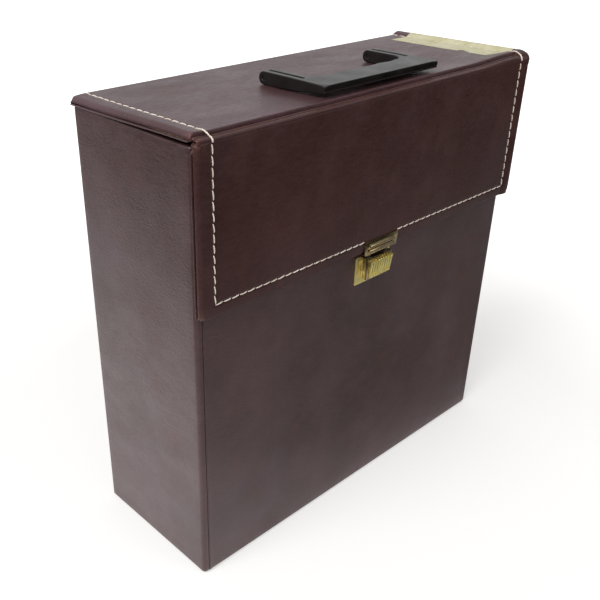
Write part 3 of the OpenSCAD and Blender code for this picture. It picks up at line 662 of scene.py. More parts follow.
def hinge_strip():
    half = CASE_W / 2 - CORNER_R
    bead_z = CASE_H + 0.15
    zs = steps(STRIP_LOW, bead_z - 3, 3.0) + steps(bead_z - 3, bead_z + 3, 0.2)[1:] + [335.0, STRIP_TOP]
    grid = []
    for x in edged(half, 6.0):
        row = []
        for z in zs:
            bead = math.sqrt(max(0.0, BEAD_R**2 - (z - bead_z) ** 2)) * 0.5
            thin = 0.5 * cut_edge(min(half - abs(x), z - STRIP_LOW, STRIP_TOP - z))
            row.append((x, CASE_D / 2 + SKIN - thin + bead, z))
        grid.append(row)
    return skin_from("hinge_strip", grid, (0, CASE_D / 2 + SKIN, 320), (0, 1, 0), SKIN * 0.4)


strip = finish_piece(hinge_strip(), None, "box", "back_hinge")
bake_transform(strip)

# %% [markdown]
# ## The padded panels
# The lid and the flap are alike: a padded field inside a row of stitches, and outside it a border
# that falls away to a round edge. The cover could be a cloth simulation, but the wadding is under
# two millimetres thick and glued, so its form is a rule: a height over the panel, from an arc at the
# border, a shallow channel along the seam, a small pucker at every needle hole and slow waves in the
# field. One function gives that height, and the stitches later ask it where to lie.


# %% Lift and curl of the lid
LEFT_SHARE, LEFT_CROWN, RIGHT_CROWN = 0.3, 2.9, 3.0
LOW_SHARE = 0.55
NOSE = 1.0
NEAR_SEAM = (3.2, 2.4, 1.8, 1.2, 0.8, 0.4)
RIM = [4.0, 3.2, 2.6, 2.0, 1.5, 1.1, 0.75, 0.5, 0.3, 0.15, 0.05]


def front_lift(x):
    """How far the lid's front edge stands up: nothing at the left, over two millimetres at the right."""
    return 0.9 * ease((x + 90.0) / 170.0) + 1.5 * ease((x - 100.0) / 48.0)


def front_raise(x, y):
    """The same lift over the whole lid: it fades away from the front edge."""
    return front_lift(x) * bell((y - LID_FRONT) / 10.0)


def left_curl(x, y):
    """How far the lid's left border has curled up off the box: most at the front."""
    return 1.6 * ease((-x - 156.0) / 15.0) * ease((42.0 - y) / 98.0)


def larger(a, b):
    """The larger of two heights, with a soft change from one to the other."""
    return (a + b + math.hypot(a - b, 0.3) - 0.3) / 2


print("stitches are", STITCH_PITCH, "mm apart")


# %% Height of a padded panel
class Panel:
    """A panel's height over its plan: u runs along the case's width, v across the panel."""

    lifted, low_seam, seams = False, None, ()

    def __init__(self, low, high, thick, fall, puff, crowns, corners, seed):
        self.low, self.high, self.thick, self.fall, self.puff = low, high, thick, fall, puff
        self.crown_low, self.crown_high = crowns
        self.corners, self.seed = corners, seed

    def slope(self, distance, share=1.0):
        """Height at a distance from a sloping edge, whose fall is a share of the panel's fall."""
        fall = self.fall * share
        radius = (BORDER**2 + fall**2) / (2 * fall)
        into = max(0.0, BORDER - distance)
        return self.thick - radius + math.sqrt(max(0.0, radius**2 - into**2))

    def rounded(self, distance, crown):
        into = max(0.0, crown - distance)
        return self.thick - crown + math.sqrt(max(0.0, crown**2 - into**2))

    def stuffing(self, u):
        """How far the right border puffs up above the panel."""
        part = clamp((RIGHT_HALF - u) / (RIGHT_HALF - STITCH_X))
        return self.puff * math.sin(math.pi * part**0.8)

    def side(self, u, raised=0.0):
        """Height across the panel: the left border slopes, the right one is stuffed and round."""
        if u < 0:
            drop = self.thick - self.rounded(LID_HALF + u, LEFT_CROWN)
            return self.slope(LID_HALF + u, LEFT_SHARE) - drop + raised
        return larger(self.stuffing(u), raised) + self.rounded(RIGHT_HALF - u, RIGHT_CROWN)

    def seam_dip(self, u, v):
        """The channel along a row of stitches, deeper at each needle hole."""
        dip = 0.0
        for kind, at, start, end in self.seams:
            across, along = (u - at, v) if kind == "u" else (v - at, u)
            if start - 1 < along < end + 1 and abs(across) <= 3.5:
                phase = ((along - start) / STITCH_PITCH + 0.5) % 1.0 - 0.5
                hole = bell(math.hypot(phase * STITCH_PITCH, across))
                dip = max(dip, 0.30 * bell(across / 1.2) + 0.30 * hole)
        return dip

    def waves(self, u, v):
        """Slow waves in the field, none near the border."""
        half = RIGHT_HALF if u > 0 else LID_HALF
        inner = min(half - abs(u) - BORDER, v - self.low - 6, self.high - v - 6)
        wave = noise.noise((u / 55.0, v / 34.0, self.seed))
        wave += 0.4 * noise.noise((u / 21.0, v / 17.0, self.seed + 7))
        return clamp(inner / 14.0) * (0.30 * wave + 0.10)

    def height(self, u, v):
        edges = [self.rounded(v - self.low, self.crown_low), self.rounded(self.high - v, self.crown_high)]
        if self.low_seam:
            edges.append(self.slope(v - self.low, LOW_SHARE))
        drop = self.thick - min(edges)
        raised = front_raise(u, v) if self.lifted else 0.0
        return self.side(u, raised) - drop - self.seam_dip(u, v) + self.waves(u, v)


print("panel heights ready")


# %% Grid of a padded panel
def at_corner(panel, u, v):
    """Rounds a panel's plan: a square corner is drawn in to a quarter circle."""
    middle, half_v = (panel.low + panel.high) / 2, (panel.high - panel.low) / 2
    half = RIGHT_HALF if u > 0 else LID_HALF
    r = panel.corners[(2 if u > 0 else 0) + (1 if v > middle else 0)]
    a = abs(u) - (half - r)
    b = abs(v - middle) - (half_v - r)
    if a <= 0 or b <= 0:
        return u, v
    k = max(a, b) / math.hypot(a, b)
    return math.copysign(half - r + a * k, u), middle + math.copysign(half_v - r + b * k, v - middle)


def edge_path(length, seam, spacing, top):
    """Places from a panel's middle out to an edge, as (inset from the edge, height or None)."""
    across = []
    if seam:
        across = [seam + d for d in (*NEAR_SEAM, 0.0)] + [seam - d for d in reversed(NEAR_SEAM)]
        across.append((across[-1] + RIM[0]) / 2)
    flat = steps(length, (across or RIM)[0], spacing)[:-1]
    path = [(d, None) for d in flat + across + RIM]
    path += [(0.0, top - (top - NOSE) * t) for t in (0.0, 0.5, 1.0)]
    angles = [math.radians(15 * k) for k in range(1, 7)]
    return path + [(NOSE * (1 - math.cos(a)), NOSE * (1 - math.sin(a))) for a in angles]


def both_ways(low, high, low_path, high_path):
    return [(low + d, w) for d, w in reversed(low_path)][:-1] + [(high - d, w) for d, w in high_path]


def panel_grid(panel, spacing_u=4.0, spacing_v=2.0):
    left = edge_path(LID_HALF, LID_HALF - STITCH_X, spacing_u, panel.side(-LID_HALF))
    right = edge_path(RIGHT_HALF, RIGHT_HALF - STITCH_X, spacing_u, panel.side(RIGHT_HALF))
    half_v = (panel.high - panel.low) / 2
    lower = edge_path(half_v, panel.low_seam, spacing_v, panel.rounded(0.0, panel.crown_low))
    upper = edge_path(half_v, None, spacing_v, panel.rounded(0.0, panel.crown_high))
    vs = both_ways(panel.low, panel.high, lower, upper)
    grid = []
    for u, wu in both_ways(-LID_HALF, RIGHT_HALF, left, right):
        limits = [min([w for w in (wu, wv) if w is not None] + [panel.height(u, v)]) for v, wv in vs]
        grid.append([(*at_corner(panel, u, v), w) for (v, _), w in zip(vs, limits)])
    return np.array(grid)


print("panel grid ready")


# %% Lid skin
lid_panel = Panel(LID_FRONT, LID_BACK, LID_TOP - LID_LOW, fall=3.4, puff=2.7, crowns=(0.8, 2.0),
                  corners=(0.8, 2.0, 5.0, 2.0), seed=3.0)
lid_panel.seams = [("u", x, LID_FRONT + 2, LID_BACK - 4) for x in (-STITCH_X, STITCH_X)]
lid_panel.lifted = True


def lid_place(local):
    world = local.copy()
    world[..., 2] = LID_LOW + local[..., 2] + np.vectorize(left_curl)(local[..., 0], local[..., 1])
    return world


def lid_height(x, y):
    return LID_LOW + lid_panel.height(x, y) + left_curl(x, y)


def lid_wear(p):
    front = bell((p.y - LID_FRONT) / 1.2) if p.z > LID_TOP - 2 else 0.0
    corner = math.exp(-math.hypot(LID_HALF - abs(p.x), p.y - LID_FRONT) / 3.0)
    return 0.04 * front + 0.4 * corner


lid_skin = skin_from("lid_skin", lid_place(panel_grid(lid_panel)), (0, 0, LID_TOP), (0, 0, 1), SKIN, 0.005)
add_wear(lid_skin, lid_wear)
finish_piece(lid_skin, "lid", "lid", "lid_cover")

# %% Flap skin
flap_panel = Panel(FLAP_LOW, FLAP_RAISED, FLAP_FACE_OUT - FLAP_BACK_OUT, fall=1.6, puff=1.7,
                   crowns=(2.4, 1.2), corners=(1.8, 2.6, 4.0, 8.0), seed=11.0)
flap_panel.low_seam = STITCH_Z - FLAP_LOW
flap_panel.seams = [("u", x, STITCH_Z, FLAP_RAISED - 1) for x in (-STITCH_X, STITCH_X)]
flap_panel.seams += [("v", STITCH_Z, -STITCH_X, -HASP_HALF), ("v", STITCH_Z, HASP_HALF, STITCH_X)]


def flap_place(local):
    """The panel stands in front of the box, and its upper part rises with the lid's front edge."""
    world = local.copy()
    world[..., 1] = FRONT - FLAP_BACK_OUT - local[..., 2]
    rise = np.vectorize(lambda x, z: front_lift(x) * ease((z - FLAP_RAISED + 24.0) / 24.0))
    world[..., 2] = local[..., 1] + rise(local[..., 0], local[..., 1])
    return world


def flap_wear(p):
    edge = bell((p.z - FLAP_RAISED - front_lift(p.x)) / 1.4)
    corner = math.exp(-math.hypot(LID_HALF - 2 - abs(p.x), p.z - FLAP_RAISED + 1.5) / 3.4)
    foot = math.exp(-math.hypot(LID_HALF - 1 - abs(p.x), p.z - FLAP_LOW - 1) / 2.4)
    return 0.06 * edge + 0.3 * corner * (p.x < 0) + 0.3 * foot


flap_skin = skin_from("flap_skin", flap_place(panel_grid(flap_panel)), (0, -68, 280), (0, -1, 0), SKIN, 0.005)
add_wear(flap_skin, flap_wear)
finish_piece(flap_skin, "flap", "flap", "flap_cover")

# %% [markdown]
# ## The linings
# The lid and the flap are closed on the inside by a stiff lining in the same leatherette. Its round
# edge stands out a little past the cover, and shows from outside as a bead behind the border.


# %% Linings of lid and flap
def rounded_outline(half, low, high, radii):
    left_low, left_high, right_low, right_high = radii
    points = arc(half - right_low, low + right_low, right_low, -90, 0, 7)
    points += arc(half - right_high, high - right_high, right_high, 0, 90, 7)
    points += arc(-half + left_high, high - left_high, left_high, 90, 180, 7)
    points += arc(-half + left_low, low + left_low, left_low, 180, 270, 7)
    dense = []
    for a, b in zip(points, points[1:] + points[:1]):
        n = max(1, int(math.dist(a, b) / 8.0))
        dense += [(a[0] + (b[0] - a[0]) * k / n, a[1] + (b[1] - a[1]) * k / n) for k in range(n)]
    return dense


def with_count(ring, count):
    """The same outline in another number of points, since the rings of a tube need equal counts."""
    if len(ring) == count:
        return ring
    closed = np.array(ring + ring[:1])
    lengths = np.cumsum([0] + [math.dist(a, b) for a, b in zip(closed, closed[1:])])
    wanted = np.linspace(0, lengths[-1], count, endpoint=False)
    return list(zip(*(np.interp(wanted, lengths, column) for column in closed.T)))


def lining_plate(name, low, high, radii, place):
    """A plate with a round edge, from its outer face to its inner one."""
    bead = LINING_THICK / 2
    rings = []
    for angle in range(-90, 91, 18):
        inset = bead - bead * math.cos(math.radians(angle))
        smaller = [max(0.3, r - inset) for r in radii]
        ring = rounded_outline(LINING_HALF - inset, low + inset, high - inset, smaller)
        ring = with_count(ring, len(rings[0]) if rings else len(ring))
        rings.append([place(x, v, bead + bead * math.sin(math.radians(angle))) for x, v in ring])
    obj = tube_from(name, rings, 0.001)
    obj.data.set_sharp_from_angle(angle=math.radians(50))
    return obj


def lid_lining_place(x, y, w):
    """The lining's ends are pressed thinner and stand out as a bead, and curl up with the border."""
    end = ease((abs(x) - 158.0) / 12.0)
    lift = 0.25 * end + left_curl(x, y)
    return (x + 0.4 * end * math.copysign(1, x), y, LINING_LOW + w * (1 - 0.36 * end) + lift)


def flap_lining_place(x, z, w):
    return (x, FRONT - 0.3 - w, z)


lid_plate = lining_plate("lid_inner_lining", LINING_FRONT, LID_BACK, [1.5] * 4, lid_lining_place)
finish_piece(lid_plate, "lid", "lid", "lid_lining")
flap_plate = lining_plate("flap_inner_lining", 221.0, FLAP_TOP, (2.2, 5.0, 4.0, 5.0), flap_lining_place)
finish_piece(flap_plate, "flap", "flap", "flap_lining")

# %% [markdown]
# ## The fold
# Between lid and flap the cover is pressed down into a groove against the lid's front edge, and then
# runs level, with two fine ridges, out to the top of the flap. At the right end the stuffing of the
# border goes on over the fold, and the grooves fade. So the piece has two sections: one for most of
# its length, one for the right end, and a soft change between them.


# %% Section of the fold
GROOVED = [(-60.8, -2.9), (-61.7, -3.25), (-62.2, -3.25), (-62.6, -2.45), (-63.6, -2.2), (-64.6, -2.45),
           (-65.1, -3.15), (-65.6, -2.6), (-66.6, -2.75), (-67.95, -3.3), (-68.45, -4.0), (-68.1, -6.0)]
STUFFED = [(-55.5, -0.5), (-57.4, -0.02), (-59.2, 0.22), (-61.0, 0.28), (-62.8, 0.05), (-64.5, -0.55),
           (-66.0, -1.45), (-67.3, -2.75), (-68.45, -4.8), (-68.68, -7.2), (-68.42, -9.9), (-67.8, -12.5)]
FOLD_LEFT, FOLD_RIGHT = -170.5, RIGHT_HALF - 0.7
LEFT_ROUND = 0.8


def smooth_line(points, parts=4):
    """A curve through the points, with a few places between each two."""
    p = np.vstack([points[:1], points, points[-1:]])
    out = []
    for a, b, c, d in zip(p, p[1:], p[2:], p[3:]):
        for t in (k / parts for k in range(parts)):
            bend = (2 * a - 5 * b + 4 * c - d) * t**2 + (3 * b - a - 3 * c + d) * t**3
            out.append(0.5 * (2 * b + (c - a) * t + bend))
    return np.array(out + [p[-1]])


def fold_line(x):
    """The section at one place along the case, as (y, z) from the lid to the flap."""
    stuffed = ease((x - 156.5) / 5.0)
    line = np.array(GROOVED) * (1 - stuffed) + np.array(STUFFED) * stuffed
    left_drop, puffed = 0.0, flap_panel.stuffing(x)
    if x <= 0:
        puffed = flap_panel.slope(LID_HALF + x, LEFT_SHARE) - flap_panel.thick
        left_drop = lid_panel.thick - lid_panel.slope(LID_HALF + x, LEFT_SHARE) - left_curl(x, -60.0)
    top = LID_TOP + larger(lid_panel.stuffing(x), front_lift(x)) - left_drop
    line[:, 0] -= np.array([ease((-62.5 - y) / 5.5) for y in line[:, 0]]) * puffed
    line[:, 1] += top + 0.12 * noise.noise((x / 31.0, 0.0, 5.0))
    return smooth_line(line)


print("section of the fold has", len(GROOVED), "places")


# %% Fold
def fold_rows():
    """Places along the fold with an inset of the section, which rounds the two ends."""
    rows = []
    for a in [math.radians(15 * turn) for turn in range(6, -1, -1)]:
        rows.append((FOLD_LEFT + LEFT_ROUND * (1 - math.sin(a)), LEFT_ROUND * (1 - math.cos(a))))
    last = FOLD_RIGHT - RIGHT_CROWN
    rows += [(x, 0.0) for x in steps(FOLD_LEFT + 2.0, 154.0, 3.0) + steps(155.0, last, 0.8)[:-1]]
    for a in [math.radians(10 * turn) for turn in range(10)]:
        rows.append((last + RIGHT_CROWN * math.sin(a), RIGHT_CROWN * (1 - math.cos(a))))
    return rows


def fold_wear(p):
    return 0.16 * bell((p.z - LID_TOP + 2.3) / 0.5) + 0.25 * math.exp(-(p.x - FOLD_LEFT) / 2.5)


fold_grid = [[(x, y, z) for y, z in moved_out(fold_line(x), -inset)] for x, inset in fold_rows()]
fold = skin_from("fold_roll", fold_grid, (0, -64, 336), (0, 0, 1), SKIN)
add_wear(fold, fold_wear)
finish_piece(fold, None, "flap", "fold_welt")
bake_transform(fold)

# %% [markdown]
# ## The stitches
# A saddle maker's long stitch: about six millimetres, cream, each one a little aslant and pulled
# down at both ends. All runs are alike, so Geometry Nodes lay one small stitch along a curve: the
# curve gives places and directions, each place gets the stitch, and the result is made real. The
# curve comes from the panels' own height function, so the thread lies in its channel.


# %% One stitch
STITCH_LENGTH = 5.9
X_AXIS, Y_AXIS, Z_AXIS = np.eye(3)


def thread_ring(centre, side, up, radius, twist):
    """Eight points round a thread that is laid up from two strands, turned by a twist."""
    ring = []
    for a in (math.pi * k / 4 for k in range(8)):
        ply = 1 + 0.16 * math.cos(2 * (a - twist))
        ring.append(tuple(centre + radius * ply * (math.cos(a) * side + math.sin(a) * up)))
    return ring


def one_stitch():
    rings = []
    for t in steps(0.0, 1.0, 0.1):
        centre = np.array([(t - 0.5) * STITCH_LENGTH, 0.0, 0.42 * math.sin(math.pi * t) ** 0.6 - 0.38])
        radius = 0.43 * (0.62 + 0.38 * math.sin(math.pi * t) ** 0.5)
        rings.append(thread_ring(centre, Y_AXIS, Z_AXIS, radius, 2 * math.pi * t * 2.2))
    return tube_from("one_stitch", rings, 0.0001)


stitch = one_stitch()
stitch.data.materials.append(MATERIALS["thread"])
print("one stitch has", len(stitch.data.polygons), "faces")


# %% Stitch tree
STITCH_INPUTS = {"Geometry": "Geometry", "Stitch": "Object", "Pitch": "Float", "Slant": "Float",
                 "Uneven": "Float", "Outward": "Vector", "Seed": "Int", "Material": "Material"}


def stitch_tree():
    tree = bpy.data.node_groups.new("stitch_run", "GeometryNodeTree")
    for label, kind in STITCH_INPUTS.items():
        tree.interface.new_socket(label, in_out="INPUT", socket_type="NodeSocket" + kind)
    tree.interface.new_socket("Geometry", in_out="OUTPUT", socket_type="NodeSocketGeometry")
    g = Nodes(tree)
    given = g.add("NodeGroupInput").outputs
    places = g.add("GeometryNodeCurveToPoints", mode="LENGTH", Curve=given["Geometry"],
                   Length=given["Pitch"]).outputs
    along = g.add("FunctionNodeAlignRotationToVector", axis="X", Vector=places["Tangent"]).outputs
    upright = g.add("FunctionNodeAlignRotationToVector", axis="Z", pivot_axis="X",
                    Rotation=along["Rotation"], Vector=given["Outward"]).outputs
    uneven = g.add("FunctionNodeRandomValue", data_type="FLOAT", Seed=given["Seed"])
    lowest, highest = [s for s in uneven.inputs if s.type == "VALUE" and s.enabled][:2]
    g.feed(g.math("MULTIPLY", given["Uneven"], -1.0), lowest)
    g.feed(given["Uneven"], highest)
    askew = [s for s in uneven.outputs if s.type == "VALUE" and s.enabled][0]
    angle = g.add("ShaderNodeCombineXYZ", Z=g.math("ADD", askew, given["Slant"])).outputs[0]
    turn = g.add("FunctionNodeRotateRotation", rotation_space="LOCAL", Rotation=upright["Rotation"],
                 Rotate_By=angle).outputs
    shape = g.add("GeometryNodeObjectInfo", Object=given["Stitch"]).outputs
    laid = g.add("GeometryNodeInstanceOnPoints", Points=places["Points"], Instance=shape["Geometry"],
                 Rotation=turn["Rotation"]).outputs
    real = g.add("GeometryNodeRealizeInstances", Geometry=laid["Instances"]).outputs
    paint = g.add("GeometryNodeSetMaterial", Geometry=real["Geometry"], Material=given["Material"])
    g.add("NodeGroupOutput", Geometry=paint.outputs["Geometry"])
    return tree


STITCHES = stitch_tree()
print("stitch tree has", len(STITCHES.nodes), "nodes")


# %% A run of stitches
def stitch_run(name, path_mm, outward, seed):
    curve = bpy.data.curves.new(name, "CURVE")
    curve.dimensions = "3D"
    spline = curve.splines.new("POLY")
    spline.points.add(len(path_mm) - 1)
    for point, place in zip(spline.points, path_mm):
        point.co = (*[c * MM for c in place], 1.0)
    guide = shown(name, curve)
    modifier = guide.modifiers.new("stitches", "NODES")
    modifier.node_group = STITCHES
    sockets = {s.name: s.identifier for s in STITCHES.interface.items_tree if s.in_out == "INPUT"}
    values = {"Stitch": stitch, "Pitch": STITCH_PITCH * MM, "Slant": 0.10, "Uneven": 0.05,
              "Outward": outward, "Seed": seed, "Material": MATERIALS["thread"]}
    for label, value in values.items():
        modifier[sockets[label]] = value
    mesh = plain_mesh(guide)
    bpy.data.objects.remove(guide)
    return shown(name, mesh)


def lid_run(x, seed):
    ys = steps(LID_FRONT + 2.0 + STITCH_PITCH / 2, LID_BACK - 5.0, 2.0)
    return stitch_run(f"lid_run_{seed}", [(x, y, lid_height(x, y) + 0.28) for y in ys], (0, 0, 1), seed)


def flap_run(seed, x0, z0, x1, z1):
    places = []
    for part in steps(0.0, 1.0, 2.0 / math.hypot(x1 - x0, z1 - z0)):
        x, z = x0 + (x1 - x0) * part, z0 + (z1 - z0) * part
        flat = min(flap_panel.side(x), flap_panel.slope(z - FLAP_LOW, LOW_SHARE))
        places.append((x, z, flat + 0.02))
    return stitch_run(f"flap_run_{seed}", flap_place(np.array(places)).tolist(), (0, -1, 0), seed)


HALF_PITCH = STITCH_PITCH / 2
lid_thread = joined("lid_stitches", [lid_run(-STITCH_X, 1), lid_run(STITCH_X, 2)])
finish_piece(lid_thread, "lid", "thread")
flap_thread = joined("flap_stitches", [
    flap_run(3, -STITCH_X, STITCH_Z + HALF_PITCH, -STITCH_X, FLAP_RAISED - 4.5),
    flap_run(4, -STITCH_X + HALF_PITCH, STITCH_Z, -HASP_HALF - 2.5, STITCH_Z),
    flap_run(5, HASP_HALF + HALF_PITCH, STITCH_Z, STITCH_X - 3.5, STITCH_Z),
    flap_run(6, STITCH_X, STITCH_Z + HALF_PITCH, STITCH_X, FLAP_RAISED - 6.0),
])
finish_piece(flap_thread, "flap", "thread")


# %% Stitches over the fold
def fold_path(x):
    """The way of a long stitch that bridges the fold, from the lid's seam to the flap's."""
    rise = front_lift(x) + left_curl(x, -60.0) + LID_TOP
    bridge = [(-60.0, rise + 0.35), (-62.8, rise - 0.40), (-65.8, rise - 1.6), (-68.3, rise - 3.0),
              (-68.9, rise - 4.2), (-68.7, rise - 5.2)]
    if x > 0:
        bridge = list(moved_out(fold_line(x), 0.35)[8:37:4])
    path = np.array([(x, y, z) for y, z in [(-56.6, lid_height(x, -56.5) + 0.30)] + bridge])
    fine = [a + (b - a) * k / 5 for a, b in zip(path, path[1:]) for k in range(5)]
    fine = np.array(fine + [path[-1]])
    for _ in range(3):
        fine[1:-1] = (fine[:-2] + 2 * fine[1:-1] + fine[2:]) / 4
    return fine


def fold_thread(x, seed):
    path = fold_path(x)
    last = len(path) - 1
    rings = []
    for i, place in enumerate(path):
        ahead = path[min(i + 1, last)] - path[max(i - 1, 0)]
        up = np.cross(ahead / np.linalg.norm(ahead), X_AXIS)
        pull = abs(math.sin(2 * math.pi * i / last)) ** 0.35
        centre = place - up * 0.30 * (1 - pull)
        rings.append(thread_ring(centre, X_AXIS, up, 0.34 + 0.20 * pull, 2 * math.pi * i / last * 4.4))
    return tube_from(f"fold_thread_{seed}", rings, 0.0001)


over_fold = joined("fold_stitches", [fold_thread(-STITCH_X, 1), fold_thread(STITCH_X, 2)])
finish_piece(over_fold, None, "thread")
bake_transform(over_fold)
bpy.data.objects.remove(stitch)
print("stitches laid")

# %% [markdown]
# ## The name tape
# A strip of paper tape lies along the right end of the lid and turns down over the border. It was
# torn from a roll, so its short edges are ragged, and it has lifted a little here and there.


# %% Name tape
TAPE_LEFT, TAPE_RIGHT, TAPE_FAR = 139.2, RIGHT_HALF - 0.4, 45.0


def tape_grid():
    grid = []
    for x in steps(TAPE_LEFT, 164.0, 1.0) + steps(164.0, TAPE_RIGHT, 0.4)[1:]:
        near = -48.6 - 8.0 * min(1.0, (x - TAPE_LEFT) / 17.0)
        row = []
        for y in (near + (TAPE_FAR - near) * share for share in steps(0.0, 1.0, 0.01)):
            ragged = 0.15 * noise.noise((x / 1.7, 0.0, 2.0 if y < 0 else 6.0))
            torn_y = y + ragged * max(0.0, 1 - min(y - near, TAPE_FAR - y) / 3.0)
            torn_x = x + 0.06 * noise.noise((0.0, y / 6.0, 4.0)) * max(0.0, 1 - (x - TAPE_LEFT) / 3.0)
            crease = 0.05 * max(0.0, noise.noise((x / 9.0, y / 5.0, 8.0)))
            under = LID_LOW + lid_panel.side(torn_x, front_raise(torn_x, torn_y))
            row.append((torn_x, torn_y, under + 0.18 + crease))
        grid.append(row)
    return grid


tape = skin_from("tape_strip", tape_grid(), (150, 0, LID_TOP), (0, 0, 1), 0.12)
finish_piece(tape, "lid", "tape", "name_tape")

# %% [markdown]
# ## The handle
# The handle is one moulding. Its solid has the right form but every edge is knife sharp, and a
# moulding has none of those. A copy is remeshed in fine cubes and relaxed, which rounds every edge
# by about half a millimetre and keeps the forks, the grooves and the finger hollows.


# %% Handle
def copy_of(node, name):
    obj = shown(name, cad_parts[node].data.copy())
    for attribute in ("custom_normal", "sharp_face", "sharp_edge"):
        if attribute in obj.data.attributes:
            obj.data.attributes.remove(obj.data.attributes[attribute])
    return clean_up(obj, 0.002)


def modified(obj, kind, **settings):
    modifier = obj.modifiers.new(kind.lower(), kind)
    for key, value in settings.items():
        setattr(modifier, key, value)


def moulded_handle():
    obj = copy_of("handle_grip", "moulded_handle")
    modified(obj, "REMESH", mode="VOXEL", voxel_size=0.36 * MM)
    modified(obj, "SMOOTH", factor=0.5, iterations=5)
    modified(obj, "DECIMATE", ratio=0.32)
    made_plain(obj)
    obj.data.shade_smooth()
    return obj


finish_piece(moulded_handle(), "handle", "plastic", "handle_grip")

# %% [markdown]
# ## Lock and hasp
# These are small pressings with slightly rounded edges that catch the light. Each is a copy of its
# solid, its flat faces joined up again, with a fine bevel along every edge.


# %% Lock and hasp
def pressed(node, name, width):
    obj = copy_of(node, name)
    work = bmesh.new()
    work.from_mesh(obj.data)
    bmesh.ops.dissolve_limit(work, angle_limit=math.radians(0.6), verts=work.verts, edges=work.edges)
    work.to_mesh(obj.data)
    work.free()
    modified(obj, "BEVEL", width=width * MM, segments=2, limit_method="ANGLE",
             angle_limit=math.radians(32), harden_normals=False)
    made_plain(obj)
    obj.data.shade_smooth()
    obj.data.set_sharp_from_angle(angle=math.radians(38))
    return obj


for node, name, body, finish, width in (
    ("lock_base", "lock_plate", "case", "brass", 0.22),
    ("lock_housing", "lock_case", "case", "bronze", 0.12),
    ("thumb_slide", "ribbed_slide", "lock_slide", "brass", 0.12),
    ("hasp_plate", "hasp_pressing", "flap", "bronze", 0.14),
    ("handle_staples", "staple_pair", "lid", "bronze", 0.15),
):
    finish_piece(pressed(node, name, width), body, finish, node)

# %% [markdown]
# ## Floor and light
# The photograph has a white sheet under and behind the case, and a dim room in front. The camera
# sees white everywhere, and the floor keeps the case's shadow. Leatherette is glossy, so each wall
# takes its brightness from the floor that it mirrors: near the case for its foot, further out for its
# top. A glossy ray therefore sees a floor that is bright close to the case and brightest at its left,
# and fades towards the room; just right of the case's foot it is darker, a painted shadow of the case.
# Ramps over the floor's X and Y set that fade and that shadow. One large soft lamp stands at the left,
# a weaker one in front.


# %% Floor
FLOOR_HALF = 6000
FLOOR_GLOW = 0.44
GLOSS_GLOW = (0.60, 1.3)


def floor_fade(f, x, y):
    """The share of the floor's white that a glossy ray sees at a place, with a painted shadow of the case
    just right of its foot.
    """
    near_front = f.ramp(y, -0.06, -0.40, 0.0, 0.75)
    far_front = f.ramp(y, -0.40, -0.58, 0.0, 3.2)
    # Painted shadow: glossy rays see the floor just right of the case darker, where the case's shadow lies.
    painted_case_shadow = f.math("MULTIPLY", f.ramp(x, -0.10, 0.12, 0.0, 1.4), f.ramp(y, -0.06, -0.09),
                        f.ramp(y, -0.17, -0.34, 1.0, 0.0))
    far_right = f.math("MULTIPLY", f.ramp(x, 0.25, 0.80, 0.0, 2.5), f.ramp(y, -0.38, -0.48))
    far_left = f.ramp(x, -0.33, -0.9, 0.0, 3.6)
    depth = f.math("ADD", near_front, far_front, painted_case_shadow, far_right, far_left)
    return f.math("EXPONENT", f.math("MULTIPLY", depth, -1.0))


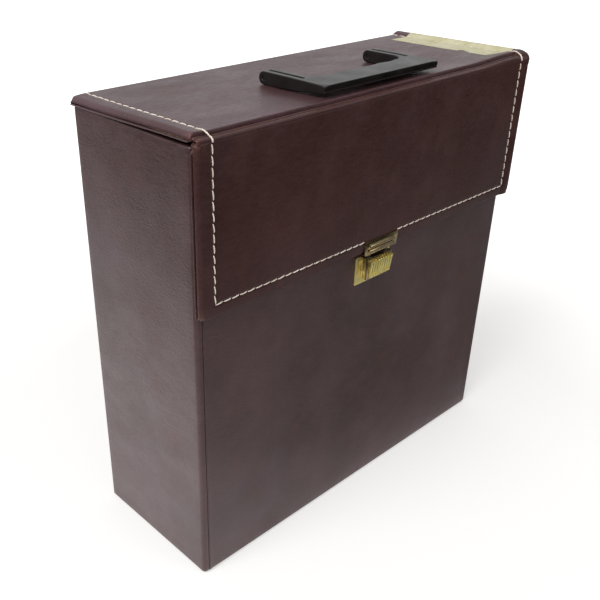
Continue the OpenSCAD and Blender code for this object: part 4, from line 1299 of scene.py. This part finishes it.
def white_sheet():
    f = Finish("white_sheet")
    f.set(Base_Color=(0.66, 0.655, 0.635), Roughness=0.9, Specular_IOR_Level=0.1)
    place = f.add("ShaderNodeSeparateXYZ", Vector=f.coordinates).outputs
    far = f.add("ShaderNodeVectorMath", operation="LENGTH", Vector=f.coordinates).outputs["Value"]
    rays = f.add("ShaderNodeLightPath").outputs
    fade = floor_fade(f, place["X"], place["Y"])
    seen = f.math("MAXIMUM", rays["Is Camera Ray"], rays["Is Transmission Ray"])
    seen = f.math("MULTIPLY", seen, f.ramp(far, 0.3, 1.0, FLOOR_GLOW, 1.0))
    sheen = f.math("MULTIPLY", rays["Is Glossy Ray"], fade, f.ramp(place["X"], -0.10, -0.34, *GLOSS_GLOW))
    glow = f.add("ShaderNodeEmission", Strength=f.math("MAXIMUM", seen, sheen))
    hidden = f.math("MULTIPLY", rays["Is Glossy Ray"], f.math("SUBTRACT", 1.0, fade))
    dark = f.add("ShaderNodeEmission", Strength=0.0)
    lit = f.shaders("ShaderNodeMixShader", f.shader, dark, Fac=hidden)
    both = f.shaders("ShaderNodeAddShader", lit, glow)
    f.feed(both.outputs[0], f.tree.nodes["Material Output"].inputs["Surface"])
    return f.material


corners = [(-1, -1), (1, -1), (1, 1), (-1, 1)]
floor = mesh_from("floor", [(a * FLOOR_HALF, b * FLOOR_HALF, 0) for a, b in corners], [(0, 1, 2, 3)])
floor.data.materials.append(white_sheet())
print("floor made")


# %% World and lamps
AMBIENT = 0.46
ROOM = 0.34


def make_world():
    world = bpy.data.worlds.new("studio")
    bpy.context.scene.world = world
    world.use_nodes = True
    w = Nodes(world.node_tree)
    ambient = w.tree.nodes["Background"]
    w.feed((1.0, 0.98, 0.97), ambient.inputs["Color"])
    w.feed(AMBIENT, ambient.inputs["Strength"])
    direction = w.add("ShaderNodeTexCoord").outputs["Generated"]
    back = w.add("ShaderNodeSeparateXYZ", Vector=direction).outputs["Y"]
    mirrored = w.add("ShaderNodeBackground", Strength=w.ramp(back, -0.35, 0.55, ROOM, 1.0))
    pale = w.add("ShaderNodeBackground")
    rays = w.add("ShaderNodeLightPath").outputs
    clear = w.math("MAXIMUM", rays["Is Camera Ray"], rays["Is Transmission Ray"])
    unseen = w.shaders("ShaderNodeMixShader", ambient, mirrored, Fac=rays["Is Glossy Ray"])
    sky = w.shaders("ShaderNodeMixShader", unseen, pale, Fac=clear)
    w.feed(sky.outputs[0], w.tree.nodes["World Output"].inputs["Surface"])


def lamp(name, place, aim, size, power):
    light = bpy.data.lights.new(name, "AREA")
    light.shape, light.size, light.energy = "DISK", size, power
    obj = shown(name, light)
    obj.location = place
    obj.rotation_euler = (Vector(aim) - Vector(place)).to_track_quat("-Z", "Y").to_euler()


make_world()
lamp("key", (-1.5, -0.2, 1.7), (0, 0, 0.15), 1.5, 32)
lamp("fill", (0.6, -1.9, 1.2), (0, 0, 0.2), 1.4, 8)
